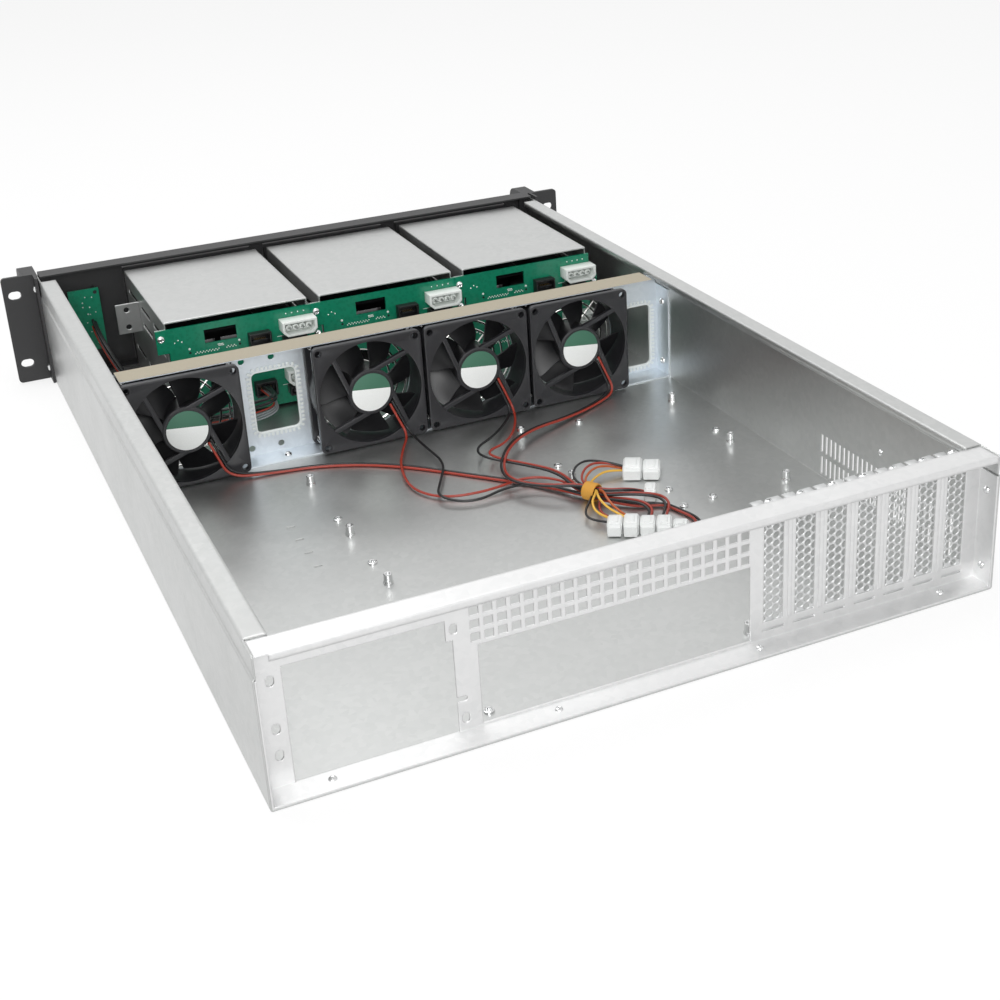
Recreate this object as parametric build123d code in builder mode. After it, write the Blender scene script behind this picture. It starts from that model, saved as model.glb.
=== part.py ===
"""A 2U rackmount server case with its top cover off: folded steel chassis, six hot-swap bays, four fans.

Millimetres. +X is the left of the case seen from behind, +Y the rear, +Z up. The origin is the centre of the
case's footprint, on the underside of its floor. Depths are given back from the rear plane of the rack ears.
"""

import os
from math import cos, pi, radians, sin, sqrt, tan

from build123d import *

os.makedirs("parts", exist_ok=True)

# Chassis sheet
sheet = 1.0
case_width = 430.0
case_depth = 644.0
wall_height = 86.5
joggle_height = 73.0
joggle = 1.0
top_flange = 12.0
top_lip = 4.0
flange_setback = 18.0
bend = 1.6
side_slot_first, side_slot_pitch, side_slot_count = 470.0, 5.0, 28
side_slot_width = 2.5
side_slot_rows = ((3.0, 15.7), (19.0, 31.6))
tie_slit_place = (122.0, 391.0)
tie_slit_length, tie_slit_width, tie_slit_pitch, tie_slit_count = 5.0, 1.6, 20.0, 4

# Rack ears and front
ear_top = 88.4
ear_bottom = 0.5
ear_thick = 3.0
ear_side = 14.0
ear_side_thick = 2.0
ear_lap = 10.0
ear_step = 86.0
slot_span = 465.1
slot_margin = 8.75
ear_span = slot_span + 2 * slot_margin
ear_corner = 3.0
slot_pitch = 57.15
slot_length = 10.0
slot_width = 7.0
slot_centre = 44.7
panel_thick = 3.0
panel_inset = 2.5
panel_top_flange = 13.0
panel_flange_thick = 1.2
handle_reach = 40.0
handle_width = 12.0
handle_bar = 9.0
handle_top = 86.0
handle_bottom = 4.0
handle_corner = 9.0
handle_inner_corner = 4.0
handle_gap = 0.4

# Drive bays
cage_pitch = 117.0
cage_centre = 94.65
cage_width = 107.6
cage_front = 13.0
cage_rear = 158.0
cage_top = 83.0
cage_lap = 12.0
shelf_lap = 8.0
cage_slot_pitch, cage_slot_length, cage_slot_width, cage_slot_count = 46.0, 36.0, 4.0, 3
upper_slots, upper_slot_gap, lower_slots = 62.0, 14.0, 22.0
bracket_depth, bracket_width, bracket_low, bracket_high = 61.0, 18.0, 47.0, 71.0
bracket_hole_radius, bracket_hole_inset, bracket_hole_pitch = 2.2, 10.0, 14.0
shelf_top = 42.2
bay_side_gap = 0.3
bay_floor_gap = 0.5
tray_height = 38.4
tray_rear = 146.0
tray_rail = 3.0
tray_rail_height = 21.0
tray_floor = 1.6
tray_slot_length, tray_slot_width, tray_slot_pitch = 70.0, 44.0, 60.0
bezel_front = -9.0
bezel_rear = 1.0
lever_thick = 4.2
lever_height = 20.0
lever_length = 84.0
lever_gap = 0.4
pivot_inset = 9.0
pivot_radius = 3.0
pin_radius = 1.2
pin_clearance = 0.06
pin_reach = 1.8
pin_end_gap = 0.2
grip_start, grip_end, grip_half = 12.0, 14.0, 5.5
air_slot_length, air_slot_height, air_slot_pitch, air_slot_count = 26.0, 3.6, 31.0, 3
air_slot_rise = 15.2

# Backplanes and their sockets, from the centre of a cage
board_thick = 1.6
board_left = 61.0
board_right = 55.8
board_top = 78.0
board_bottom = 3.0
board_tab = 7.0
board_notch, board_shoulder = 8.5, 60.0
tab_left_bottom = 65.0
tab_right_bottom, tab_right_top = 48.5, 59.6
row_drop = 39.2
cutout_left, cutout_right, cutout_bottom, cutout_top = 26.0, 2.0, 62.4, 73.0
power_socket_x, power_socket_z = -43.3, 65.2
power_socket_size, power_socket_hollow = (26.6, 11.6), (22.8, 8.2)
power_socket_depth, power_socket_floor = 12.0, 3.0
data_socket_sizes = ((-14.0, 59.0, 16.6, 11.6, 7.0), (-40.2, 54.0, 18.0, 7.0, 9.0))
data_socket_wall, data_socket_floor = 1.5, 2.0

# Fans and their bracket
fan_size = 80.0
fan_depth = 25.0
fan_corner = 4.0
fan_bolt_pitch = 71.5
fan_bolt_radius = 2.15
fan_bore = 37.75
fan_flange = 4.0
fan_sides = 32
duct_wall = 1.7
small_sides = 10
wall_face = 241.3
fan_bottom = 2.05
fan_wall_top = 83.3
fan_wall_flange = 19.0
flange_end_gap = 1.5
flange_side_gap = 0.4
spare_hole_x, spare_hole_z, spare_hole_pitch_x, spare_hole_pitch_z = 103.4, 40.6, 21.3, 65.9
spare_hole_radius = 2.3
fan_centres = (161.4, 30.3, -52.3, -134.9)
hub_radius = 16.0
hub_wall = 1.5
base_radius = 17.0
base_thick = 4.0
bearing_radius = 5.0
bearing_length = 10.0
bearing_end = 1.0
shaft_radius = 1.5
shaft_clearance = 0.06
blade_count = 7
tip_clearance = 1.2
blade_thick = 1.5
blade_chord, blade_rise, blade_sweep, blade_root = 13.0, 7.0, 4.0, 3.0
spin_gap = 0.6
strut_width = 4.0
strut_lean = 20.0
strut_inset = 0.5
hub_recess = 1.5
hub_sides = 21
shaft_end = 1.4
guard_wire = 1.6
guard_sides = 14
guard_rings = (36.0, 23.0)
guard_eye = 3.2

# Cable cut-outs of the fan bracket: centre, width, height
cable_cutouts = ((93.0, 41.0, 34.0, 48.0), (-196.0, 32.0, 24.0, 52.0))
cutout_corner = 5.0
edging_inner = 1.4
edging_lap = 2.4
edging_thick = 0.9

# Rear panel
rear_recess = 14.65
rear_top = 85.5
rear_lip = 4.5
psu_right, psu_left, psu_height = 112.0, 198.0, 68.0
psu_step_width, psu_step_bottom = 3.5, 56.0
side_slots_at = ((204.0, 61.5), (204.0, 34.6), (204.0, 19.6), (111.3, 62.3), (108.0, 9.5))
side_hole_length, side_hole_width = 6.0, 4.0
tongue_hole_at, tongue_hole_width = (109.5, 21.0), 3.2
io_left, io_width, io_bottom, io_height = 99.0, 158.75, 3.3, 46.5
vent_size, vent_pitch, vent_columns, vent_rows = 5.0, 7.45, 22, 3
vent_centre_x, vent_centre_z = 21.65, 61.9
window_count = 7
window_pitch = 20.32
window_width = 12.7
first_window = -74.6
window_bottom, window_top = 12.6, 79.4
slit_length, slit_bottom, slit_top = 14.0, 7.0, 8.6
rib_width, rib_height, rib_gap = 2.4, 0.7, 4.0
rear_lip_inset = 9.0
ledge_width, ledge_depth = 8.0, 9.0
cover_width = 18.4
cover_thick = 0.9
cover_bottom = 3.2
ledge_clearance = 0.3
ledge_overhang = 1.0
hole_radius = 1.95
hole_pitch = 6.0
hole_columns = 4.6
hole_rows, hole_middle = 10, 45.0

# Floor fittings
standoff_height = 7.0
standoff_radius = 3.2
thread_radius = 1.5
thread_depth = 5.0
insert_height = 1.8
insert_radius = 3.0
head_radius = 2.75
head_height = 2.0
rivet_radius = 2.3
rivet_height = 1.2

# Front controls
button_radius, reset_radius = 5.0, 2.4
button_gap = 0.3
button_travel = 1.2
control_board_left, control_board_right = 194.0, 170.0
control_board_face = 8.0
board_holes = ((173.0, 24.0), (173.0, 68.5))
board_stud_radius = 2.2
board_hole_radius = 1.6
control_board_bottom, control_board_top = 20.5, 72.0
button_at, reset_at = (187.0, 58.0), (187.0, 44.0)
button_flange, button_proud, button_stem = 1.2, 1.4, 1.5
usb_x, usb_heights = 176.0, (33.0, 52.0)
usb_size, usb_wall, usb_gap, usb_depth = (6.4, 13.4), 0.5, 0.3, 10.0
usb_tongue = (2.0, 11.0)
led_heights = (27.0, 33.0)
led_radius = 1.5

half = case_width / 2
inner = half - sheet
upper_inner = inner - joggle
ear_y = handle_reach - (handle_reach + case_depth) / 2
rear_y = ear_y + case_depth
plate_y = rear_y - rear_recess - sheet


def facing_front(depth):
    """A plane at this depth behind the ears: X stays X, Z is up, and extrusions from it run forward."""
    return Plane(origin=(0, ear_y + depth, 0), x_dir=(1, 0, 0), z_dir=(0, -1, 0))


def rectangle(x_low, x_high, y_low, y_high, mode=Mode.ADD):
    """A sketch rectangle between two corners."""
    with Locations(((x_low + x_high) / 2, (y_low + y_high) / 2)):
        Rectangle(x_high - x_low, y_high - y_low, mode=mode)


def block(x_low, x_high, y_low, y_high, z_low, z_high, mode=Mode.ADD):
    """A box between two corners, its depths counted back from the ears."""
    centre = ((x_low + x_high) / 2, ear_y + (y_low + y_high) / 2, (z_low + z_high) / 2)
    with Locations(centre):
        Box(x_high - x_low, y_high - y_low, z_high - z_low, mode=mode)


def write(builder, name):
    """Label a finished piece and write its file."""
    builder.part.label = name
    export_step(builder.part, f"parts/{name}.step")


# Chassis tray: floor and both side walls, one folded sheet, its upper bands set in by one sheet
with BuildPart() as chassis_tray:
    with BuildSketch(facing_front(case_depth)) as tray_section:
        with BuildLine():
            Polyline(
                (0, 0),
                (half, 0),
                (half, joggle_height),
                (half - joggle, joggle_height + joggle),
                (half - joggle, wall_height),
                (half - joggle - top_flange, wall_height),
                (half - joggle - top_flange, wall_height - top_lip),
                (half - joggle - top_flange + sheet, wall_height - top_lip),
                (half - joggle - top_flange + sheet, wall_height - sheet),
                (upper_inner, wall_height - sheet),
                (upper_inner, joggle_height + joggle),
                (inner, joggle_height),
                (inner, sheet),
                (0, sheet),
                close=True,
            )
        make_face()
        outer_bends = tray_section.vertices().filter_by(
            lambda v: v.X > upper_inner and (v.Y < sheet / 2 or v.Y > wall_height - sheet / 2)
        )
        fillet(outer_bends, bend)
        mirror(about=Plane.YZ)
    extrude(amount=case_depth)
    flange_inside = half - joggle - top_flange - sheet
    flange_low = wall_height - top_lip - sheet
    plate_depth = plate_y - ear_y
    for side in (1, -1):
        x_low, x_high = sorted((side * flange_inside, side * upper_inner))
        block(x_low, x_high, -1, flange_setback, flange_low, wall_height + 1, mode=Mode.SUBTRACT)
        block(x_low, x_high, plate_depth - 0.3, case_depth + 1, flange_low, wall_height + 1, mode=Mode.SUBTRACT)
    # Cooling slots, two rows low in the wall on the -X side
    slot_middle = side_slot_first + side_slot_pitch * (side_slot_count - 1) / 2
    for slot_low, slot_high in side_slot_rows:
        with BuildSketch(Plane.YZ.offset(-half)):
            with Locations((ear_y + slot_middle, (slot_low + slot_high) / 2)):
                with GridLocations(side_slot_pitch, 1, side_slot_count, 1):
                    Rectangle(side_slot_width, slot_high - slot_low)
        extrude(amount=sheet, mode=Mode.SUBTRACT)
    # Cable tie slits in the floor
    with BuildSketch(Plane.XY):
        with Locations((tie_slit_place[0], ear_y + tie_slit_place[1])):
            with GridLocations(1, tie_slit_pitch, 1, tie_slit_count):
                Rectangle(tie_slit_length, tie_slit_width)
    extrude(amount=sheet, mode=Mode.SUBTRACT)
write(chassis_tray, "chassis_tray")

# Rear panel: one folded plate set in from the rear edges, with its flanges bent rearwards
windows = [first_window - i * window_pitch for i in range(window_count)]
with BuildPart() as rear_panel:
    with BuildSketch(facing_front(plate_depth + sheet)):
        rectangle(-upper_inner, upper_inner, sheet, rear_top)
        rectangle(psu_right, psu_left, 2 * sheet, psu_height, mode=Mode.SUBTRACT)
        rectangle(psu_right, psu_right + psu_step_width, psu_step_bottom, psu_height)
        rectangle(io_left - io_width, io_left, io_bottom, io_bottom + io_height, mode=Mode.SUBTRACT)
        with Locations((vent_centre_x, vent_centre_z)):
            with GridLocations(vent_pitch, vent_pitch, vent_columns, vent_rows):
                Rectangle(vent_size, vent_size, mode=Mode.SUBTRACT)
        for x in windows:
            rectangle(x - window_width / 2, x + window_width / 2, window_bottom, window_top, mode=Mode.SUBTRACT)
            rectangle(x - slit_length / 2, x + slit_length / 2, slit_bottom, slit_top, mode=Mode.SUBTRACT)
        with Locations(*side_slots_at):
            SlotOverall(side_hole_length, side_hole_width, rotation=90, mode=Mode.SUBTRACT)
        with Locations(tongue_hole_at):
            SlotOverall(side_hole_length, tongue_hole_width, mode=Mode.SUBTRACT)
    extrude(amount=sheet)
    block(-inner, inner, plate_depth, case_depth, sheet, 2 * sheet)
    block(-upper_inner, upper_inner, plate_depth, case_depth, rear_top - sheet, rear_top)
    block(-upper_inner, half - rear_lip_inset, case_depth - sheet, case_depth, rear_top - rear_lip, rear_top)
    for side in (1, -1):
        x_low, x_high = sorted((side * upper_inner, side * inner))
        block(x_low, x_high, plate_depth, case_depth, sheet, joggle_height - flange_side_gap)
    # Screw ledges over the windows, and the stiffening ribs between them
    for x in windows:
        block(x - ledge_width / 2, x + ledge_width / 2, plate_depth - ledge_depth, plate_depth,
              window_top + sheet, window_top + 2 * sheet)
    for x in windows[:-1]:
        rib_x = x - window_pitch / 2
        block(rib_x - rib_width / 2, rib_x + rib_width / 2, plate_depth + sheet,
              plate_depth + sheet + rib_height, window_bottom, window_top - rib_gap)
write(rear_panel, "rear_panel")

# Slot covers: perforated blanks that hang from the ledges inside the windows
tab_underside = window_top + 2 * sheet
with BuildPart() as slot_covers:
    with BuildSketch(facing_front(plate_depth)):
        for x in windows:
            rectangle(x - cover_width / 2, x + cover_width / 2, cover_bottom, tab_underside + cover_thick)
            rectangle(x - ledge_width / 2 - ledge_clearance, x + ledge_width / 2 + ledge_clearance,
                      window_top + sheet - ledge_clearance, tab_underside, mode=Mode.SUBTRACT)
            for column in (-0.5, 0.5):
                with Locations((x + column * hole_columns, hole_middle + column * hole_pitch / 2)):
                    with GridLocations(1, hole_pitch, 1, hole_rows):
                        RegularPolygon(hole_radius, 6, major_radius=False, mode=Mode.SUBTRACT)
    extrude(amount=cover_thick)
    for x in windows:
        block(x - cover_width / 2, x + cover_width / 2, plate_depth - ledge_depth - ledge_overhang, plate_depth,
              tab_underside, tab_underside + cover_thick)
write(slot_covers, "slot_covers")

# Front panel: plate with three bay windows and the control holes, flanged at top and bottom
cage_centres = [cage_centre - i * cage_pitch for i in range(3)]
cage_inner = cage_width / 2 - sheet
panel_half = half - panel_inset
with BuildPart() as front_panel:
    with BuildSketch(facing_front(-ear_thick)):
        rectangle(-panel_half, panel_half, sheet, ear_top)
        for x in cage_centres:
            rectangle(x - cage_inner, x + cage_inner, sheet + panel_flange_thick, cage_top - sheet,
                      mode=Mode.SUBTRACT)
        with Locations(button_at):
            Circle(button_radius + button_gap, mode=Mode.SUBTRACT)
        with Locations(reset_at):
            Circle(reset_radius + button_gap, mode=Mode.SUBTRACT)
        for z in usb_heights:
            with Locations((usb_x, z)):
                Rectangle(usb_size[0] + 2 * usb_gap, usb_size[1] + 2 * usb_gap, mode=Mode.SUBTRACT)
        for z in led_heights:
            with Locations((button_at[0], z)):
                Circle(led_radius + button_gap, mode=Mode.SUBTRACT)
    extrude(amount=panel_thick)
    block(-panel_half, panel_half, -ear_thick, panel_top_flange - ear_thick,
          ear_top - panel_flange_thick, ear_top)
    flange_half = half - ear_lap - button_gap
    block(-flange_half, flange_half, -ear_thick, panel_top_flange - ear_thick,
          sheet, sheet + panel_flange_thick)
    with BuildSketch(facing_front(control_board_face)):
        with Locations(*board_holes):
            Circle(board_stud_radius)
    extrude(amount=control_board_face + ear_thick)
write(front_panel, "front_panel")

# Rack ears: angle brackets lapped over the front of the side walls, each with two rack slots
for name, side in (("left", 1), ("right", -1)):
    with BuildPart() as rack_ear:
        with BuildSketch(facing_front(0)):
            x_low, x_high = sorted((side * half, side * ear_span / 2))
            rectangle(x_low, x_high, ear_bottom, ear_top)
            x_low, x_high = sorted((side * (half - ear_lap), side * half))
            rectangle(x_low, x_high, sheet, ear_step)
            with Locations((side * slot_span / 2, slot_centre)):
                with GridLocations(1, slot_pitch, 1, 2):
                    SlotOverall(slot_length, slot_width, mode=Mode.SUBTRACT)
        extrude(amount=ear_thick)
        x_low, x_high = sorted((side * half, side * (half + ear_side_thick)))
        block(x_low, x_high, -ear_thick, ear_side, ear_bottom, ear_top)
        outer_corners = rack_ear.edges().filter_by(Axis.Y).group_by(Axis.X)[-1 if side > 0 else 0]
        fillet(outer_corners, ear_corner)
    write(rack_ear, f"rack_ear_{name}")

# Handles: flat bow handles screwed to the ears
handle_inside = panel_half + handle_gap
for name, side in (("left", 1), ("right", -1)):
    with BuildPart() as handle:
        with BuildSketch(Plane.YZ.offset(side * handle_inside)):
            with Locations((ear_y - (handle_reach + ear_thick) / 2, (handle_top + handle_bottom) / 2)):
                Rectangle(handle_reach - ear_thick, handle_top - handle_bottom)
        extrude(amount=side * handle_width)
        outer_corners = handle.edges().filter_by(Axis.X).group_by(Axis.Y)[0]
        fillet(outer_corners, handle_corner)
        with BuildSketch(Plane.YZ.offset(side * handle_inside)):
            with Locations((ear_y - (handle_reach + ear_thick) / 2 + handle_bar,
                            (handle_top + handle_bottom) / 2)):
                RectangleRounded(handle_reach - ear_thick, handle_top - handle_bottom - 2 * handle_bar,
                                 handle_inner_corner)
        extrude(amount=side * handle_width, mode=Mode.SUBTRACT)
    write(handle, f"handle_{name}")

# Drive cages: folded tunnels with inward ledges for two trays and outward tabs for their backplane
tab_left = (cage_width / 2, board_left, tab_left_bottom, board_top)
tab_right = (-board_right - board_tab, -cage_width / 2, tab_right_bottom, tab_right_top)
tray_width = 2 * (cage_inner - bay_side_gap)
for number, x in enumerate(cage_centres, start=1):
    with BuildPart() as drive_cage:
        with BuildSketch(facing_front(cage_rear)):
            rectangle(x - cage_width / 2, x + cage_width / 2, sheet, cage_top)
            rectangle(x - cage_inner, x + cage_inner, 2 * sheet, shelf_top - sheet, mode=Mode.SUBTRACT)
            rectangle(x - cage_inner, x + cage_inner, shelf_top, cage_top - sheet, mode=Mode.SUBTRACT)
            rectangle(x - cage_inner + shelf_lap, x + cage_inner - shelf_lap, shelf_top - sheet, shelf_top,
                      mode=Mode.SUBTRACT)
            rectangle(x - cage_inner + cage_lap, x + cage_inner - cage_lap, sheet, 2 * sheet,
                      mode=Mode.SUBTRACT)
        extrude(amount=cage_rear - cage_front)
        for low_x, high_x, low_z, high_z in (tab_left, tab_right):
            block(x + low_x, x + high_x, cage_rear - sheet, cage_rear, low_z, high_z)
        with BuildSketch(Plane.YZ.offset(x)):
            with Locations((ear_y + (cage_front + cage_rear) / 2, upper_slots)):
                with GridLocations(cage_slot_pitch, upper_slot_gap, cage_slot_count, 2):
                    Rectangle(cage_slot_length, cage_slot_width)
            with Locations((ear_y + (cage_front + cage_rear) / 2, lower_slots)):
                with GridLocations(cage_slot_pitch, 1, cage_slot_count, 1):
                    Rectangle(cage_slot_length, cage_slot_width)
        extrude(amount=cage_width, both=True, mode=Mode.SUBTRACT)
        if number == 1:
            cage_side = x + cage_width / 2
            with BuildSketch(facing_front(bracket_depth)):
                rectangle(cage_side - sheet / 2, cage_side + bracket_width, bracket_low, bracket_high)
                with Locations((cage_side + bracket_hole_inset, (bracket_low + bracket_high) / 2)):
                    with GridLocations(1, bracket_hole_pitch, 1, 2):
                        RegularPolygon(bracket_hole_radius, small_sides, mode=Mode.SUBTRACT)
            extrude(amount=sheet)
    write(drive_cage, f"drive_cage_{number}")

# Backplanes: one circuit board closes the rear of each cage
row_tops = (0.0, -row_drop)
for number, x in enumerate(cage_centres, start=1):
    with BuildPart() as backplane:
        with BuildSketch(facing_front(cage_rear + board_thick)):
            rectangle(x - board_right, x + board_left, board_shoulder, board_top)
            rectangle(x - board_right, x + board_left - board_notch, board_bottom, board_shoulder)
            rectangle(x - board_right - board_tab, x - board_right, tab_right[2], tab_right[3])
            for drop in row_tops:
                rectangle(x + cutout_right, x + cutout_left, cutout_bottom + drop, cutout_top + drop,
                          mode=Mode.SUBTRACT)
        extrude(amount=board_thick)
    write(backplane, f"backplane_{number}")

socket_face = cage_rear + board_thick
with BuildPart() as power_sockets:
    for x in cage_centres:
        for drop in row_tops:
            with BuildSketch(facing_front(socket_face + power_socket_depth)):
                with Locations((x + power_socket_x, power_socket_z + drop)):
                    Rectangle(*power_socket_size)
            extrude(amount=power_socket_depth)
            with BuildSketch(facing_front(socket_face + power_socket_depth)):
                with Locations((x + power_socket_x, power_socket_z + drop)):
                    Rectangle(*power_socket_hollow)
            extrude(amount=power_socket_depth - power_socket_floor, mode=Mode.SUBTRACT)
write(power_sockets, "power_sockets")

with BuildPart() as data_sockets:
    for x in cage_centres:
        for drop in row_tops:
            for offset_x, z, width, height, depth in data_socket_sizes:
                with BuildSketch(facing_front(socket_face + depth)):
                    with Locations((x + offset_x, z + drop)):
                        Rectangle(width, height)
                extrude(amount=depth)
                with BuildSketch(facing_front(socket_face + depth)):
                    with Locations((x + offset_x, z + drop)):
                        Rectangle(width - 2 * data_socket_wall, height - 2 * data_socket_wall)
                extrude(amount=depth - data_socket_floor, mode=Mode.SUBTRACT)
write(data_sockets, "data_sockets")

# Hot-swap trays and their levers, numbered from the +X column, lower row first
bay_floors = (2 * sheet + bay_floor_gap, shelf_top + bay_floor_gap)
pivot_depth = bezel_front + lever_thick / 2 + lever_gap
pocket_half = lever_height / 2 + lever_gap
number = 0
for x in cage_centres:
    for floor_z in bay_floors:
        number += 1
        middle_z = floor_z + tray_height / 2
        pivot_x = x - tray_width / 2 + pivot_inset
        with BuildPart() as drive_tray:
            tray_low, tray_high = x - tray_width / 2, x + tray_width / 2
            block(tray_low, tray_high, bezel_front, bezel_rear, floor_z, floor_z + tray_height)
            block(tray_low, tray_high, bezel_rear, tray_rear, floor_z, floor_z + tray_rail_height)
            block(x - tray_width / 2 + tray_rail, x + tray_width / 2 - tray_rail, bezel_rear, tray_rear + 1,
                  floor_z + tray_floor, floor_z + tray_rail_height + 1, mode=Mode.SUBTRACT)
            # Air slots in the tray's floor and through its bezel, and the pocket for the lever
            with BuildSketch(Plane.XY.offset(floor_z)):
                with Locations((x, ear_y + (bezel_rear + tray_rear) / 2)):
                    with GridLocations(1, tray_slot_pitch, 1, 2):
                        Rectangle(tray_slot_length, tray_slot_width)
            extrude(amount=tray_floor, mode=Mode.SUBTRACT)
            with BuildSketch(facing_front(bezel_rear)):
                with Locations((x, middle_z)):
                    with GridLocations(air_slot_pitch, 2 * air_slot_rise, air_slot_count, 2):
                        Rectangle(air_slot_length, air_slot_height)
            extrude(amount=bezel_rear - bezel_front, mode=Mode.SUBTRACT)
            block(pivot_x - pivot_radius - lever_gap, pivot_x + lever_length, bezel_front - 1,
                  bezel_front + lever_thick + 2 * lever_gap, middle_z - pocket_half, middle_z + pocket_half,
                  mode=Mode.SUBTRACT)
            with BuildSketch(Plane.XY.offset(middle_z)):
                with Locations((pivot_x, ear_y + pivot_depth)):
                    Circle(pin_radius + pin_clearance)
            extrude(amount=pocket_half + pin_reach + pin_end_gap, both=True, mode=Mode.SUBTRACT)
        write(drive_tray, f"drive_tray_{number}")

        with BuildPart() as tray_lever:
            with BuildSketch(Plane.XY.offset(middle_z)):
                with Locations((pivot_x, ear_y + pivot_depth)):
                    Circle(lever_thick / 2)
                rectangle(pivot_x, pivot_x + lever_length - lever_gap, ear_y + pivot_depth - lever_thick / 2,
                          ear_y + pivot_depth + lever_thick / 2)
            extrude(amount=lever_height / 2, both=True)
            block(pivot_x + grip_start, pivot_x + lever_length - grip_end, bezel_front - 1,
                  pivot_depth + lever_thick, middle_z - grip_half, middle_z + grip_half, mode=Mode.SUBTRACT)
            with BuildSketch(Plane.XY.offset(middle_z)):
                with Locations((pivot_x, ear_y + pivot_depth)):
                    Circle(pin_radius)
            extrude(amount=pocket_half + pin_reach, both=True)
        write(tray_lever, f"tray_lever_{number}")

# Fan bracket: folded plate across the case, flanged rearwards over and under the fans
fan_middle = fan_bottom + fan_size / 2
flange_reach = half - joggle - top_flange - sheet - flange_end_gap
with BuildPart() as fan_wall:
    with BuildSketch(facing_front(wall_face)):
        rectangle(-upper_inner, upper_inner, sheet, fan_wall_top - 2 * sheet)
        rectangle(-flange_reach, flange_reach, fan_wall_top - 3 * sheet, fan_wall_top)
        for x in fan_centres:
            with Locations((x, fan_middle)):
                Circle(fan_bore, mode=Mode.SUBTRACT)
        for x, z, width, height in cable_cutouts:
            with Locations((x, z)):
                RectangleRounded(width, height, cutout_corner, mode=Mode.SUBTRACT)
        with Locations((spare_hole_x, spare_hole_z)):
            with GridLocations(spare_hole_pitch_x, spare_hole_pitch_z, 2, 2):
                RegularPolygon(spare_hole_radius, small_sides, mode=Mode.SUBTRACT)
    extrude(amount=sheet)
    block(-flange_reach, flange_reach, wall_face, wall_face + fan_wall_flange,
          fan_wall_top - sheet, fan_wall_top)
    block(-upper_inner, upper_inner, wall_face, wall_face + fan_wall_flange, sheet, 2 * sheet)
    for side in (1, -1):
        x_low, x_high = sorted((side * upper_inner, side * inner))
        block(x_low, x_high, wall_face - sheet, wall_face + fan_wall_flange,
              sheet, joggle_height - flange_side_gap)
write(fan_wall, "fan_wall")

# Toothed edging pressed round the cable cut-outs: a channel over the sheet's edge
with BuildPart() as cable_edging:
    for x, z, width, height in cable_cutouts:
        hollow = (width - 2 * edging_inner, height - 2 * edging_inner, cutout_corner - edging_inner)
        for depth, grow, thick in (
            (wall_face - sheet, edging_lap, edging_thick),
            (wall_face, 0.0, sheet),
            (wall_face + edging_thick, edging_lap, edging_thick),
        ):
            with BuildSketch(facing_front(depth)):
                with Locations((x, z)):
                    RectangleRounded(width + 2 * grow, height + 2 * grow, cutout_corner + grow)
                    RectangleRounded(*hollow, mode=Mode.SUBTRACT)
            extrude(amount=thick)
write(cable_edging, "cable_edging")

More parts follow.
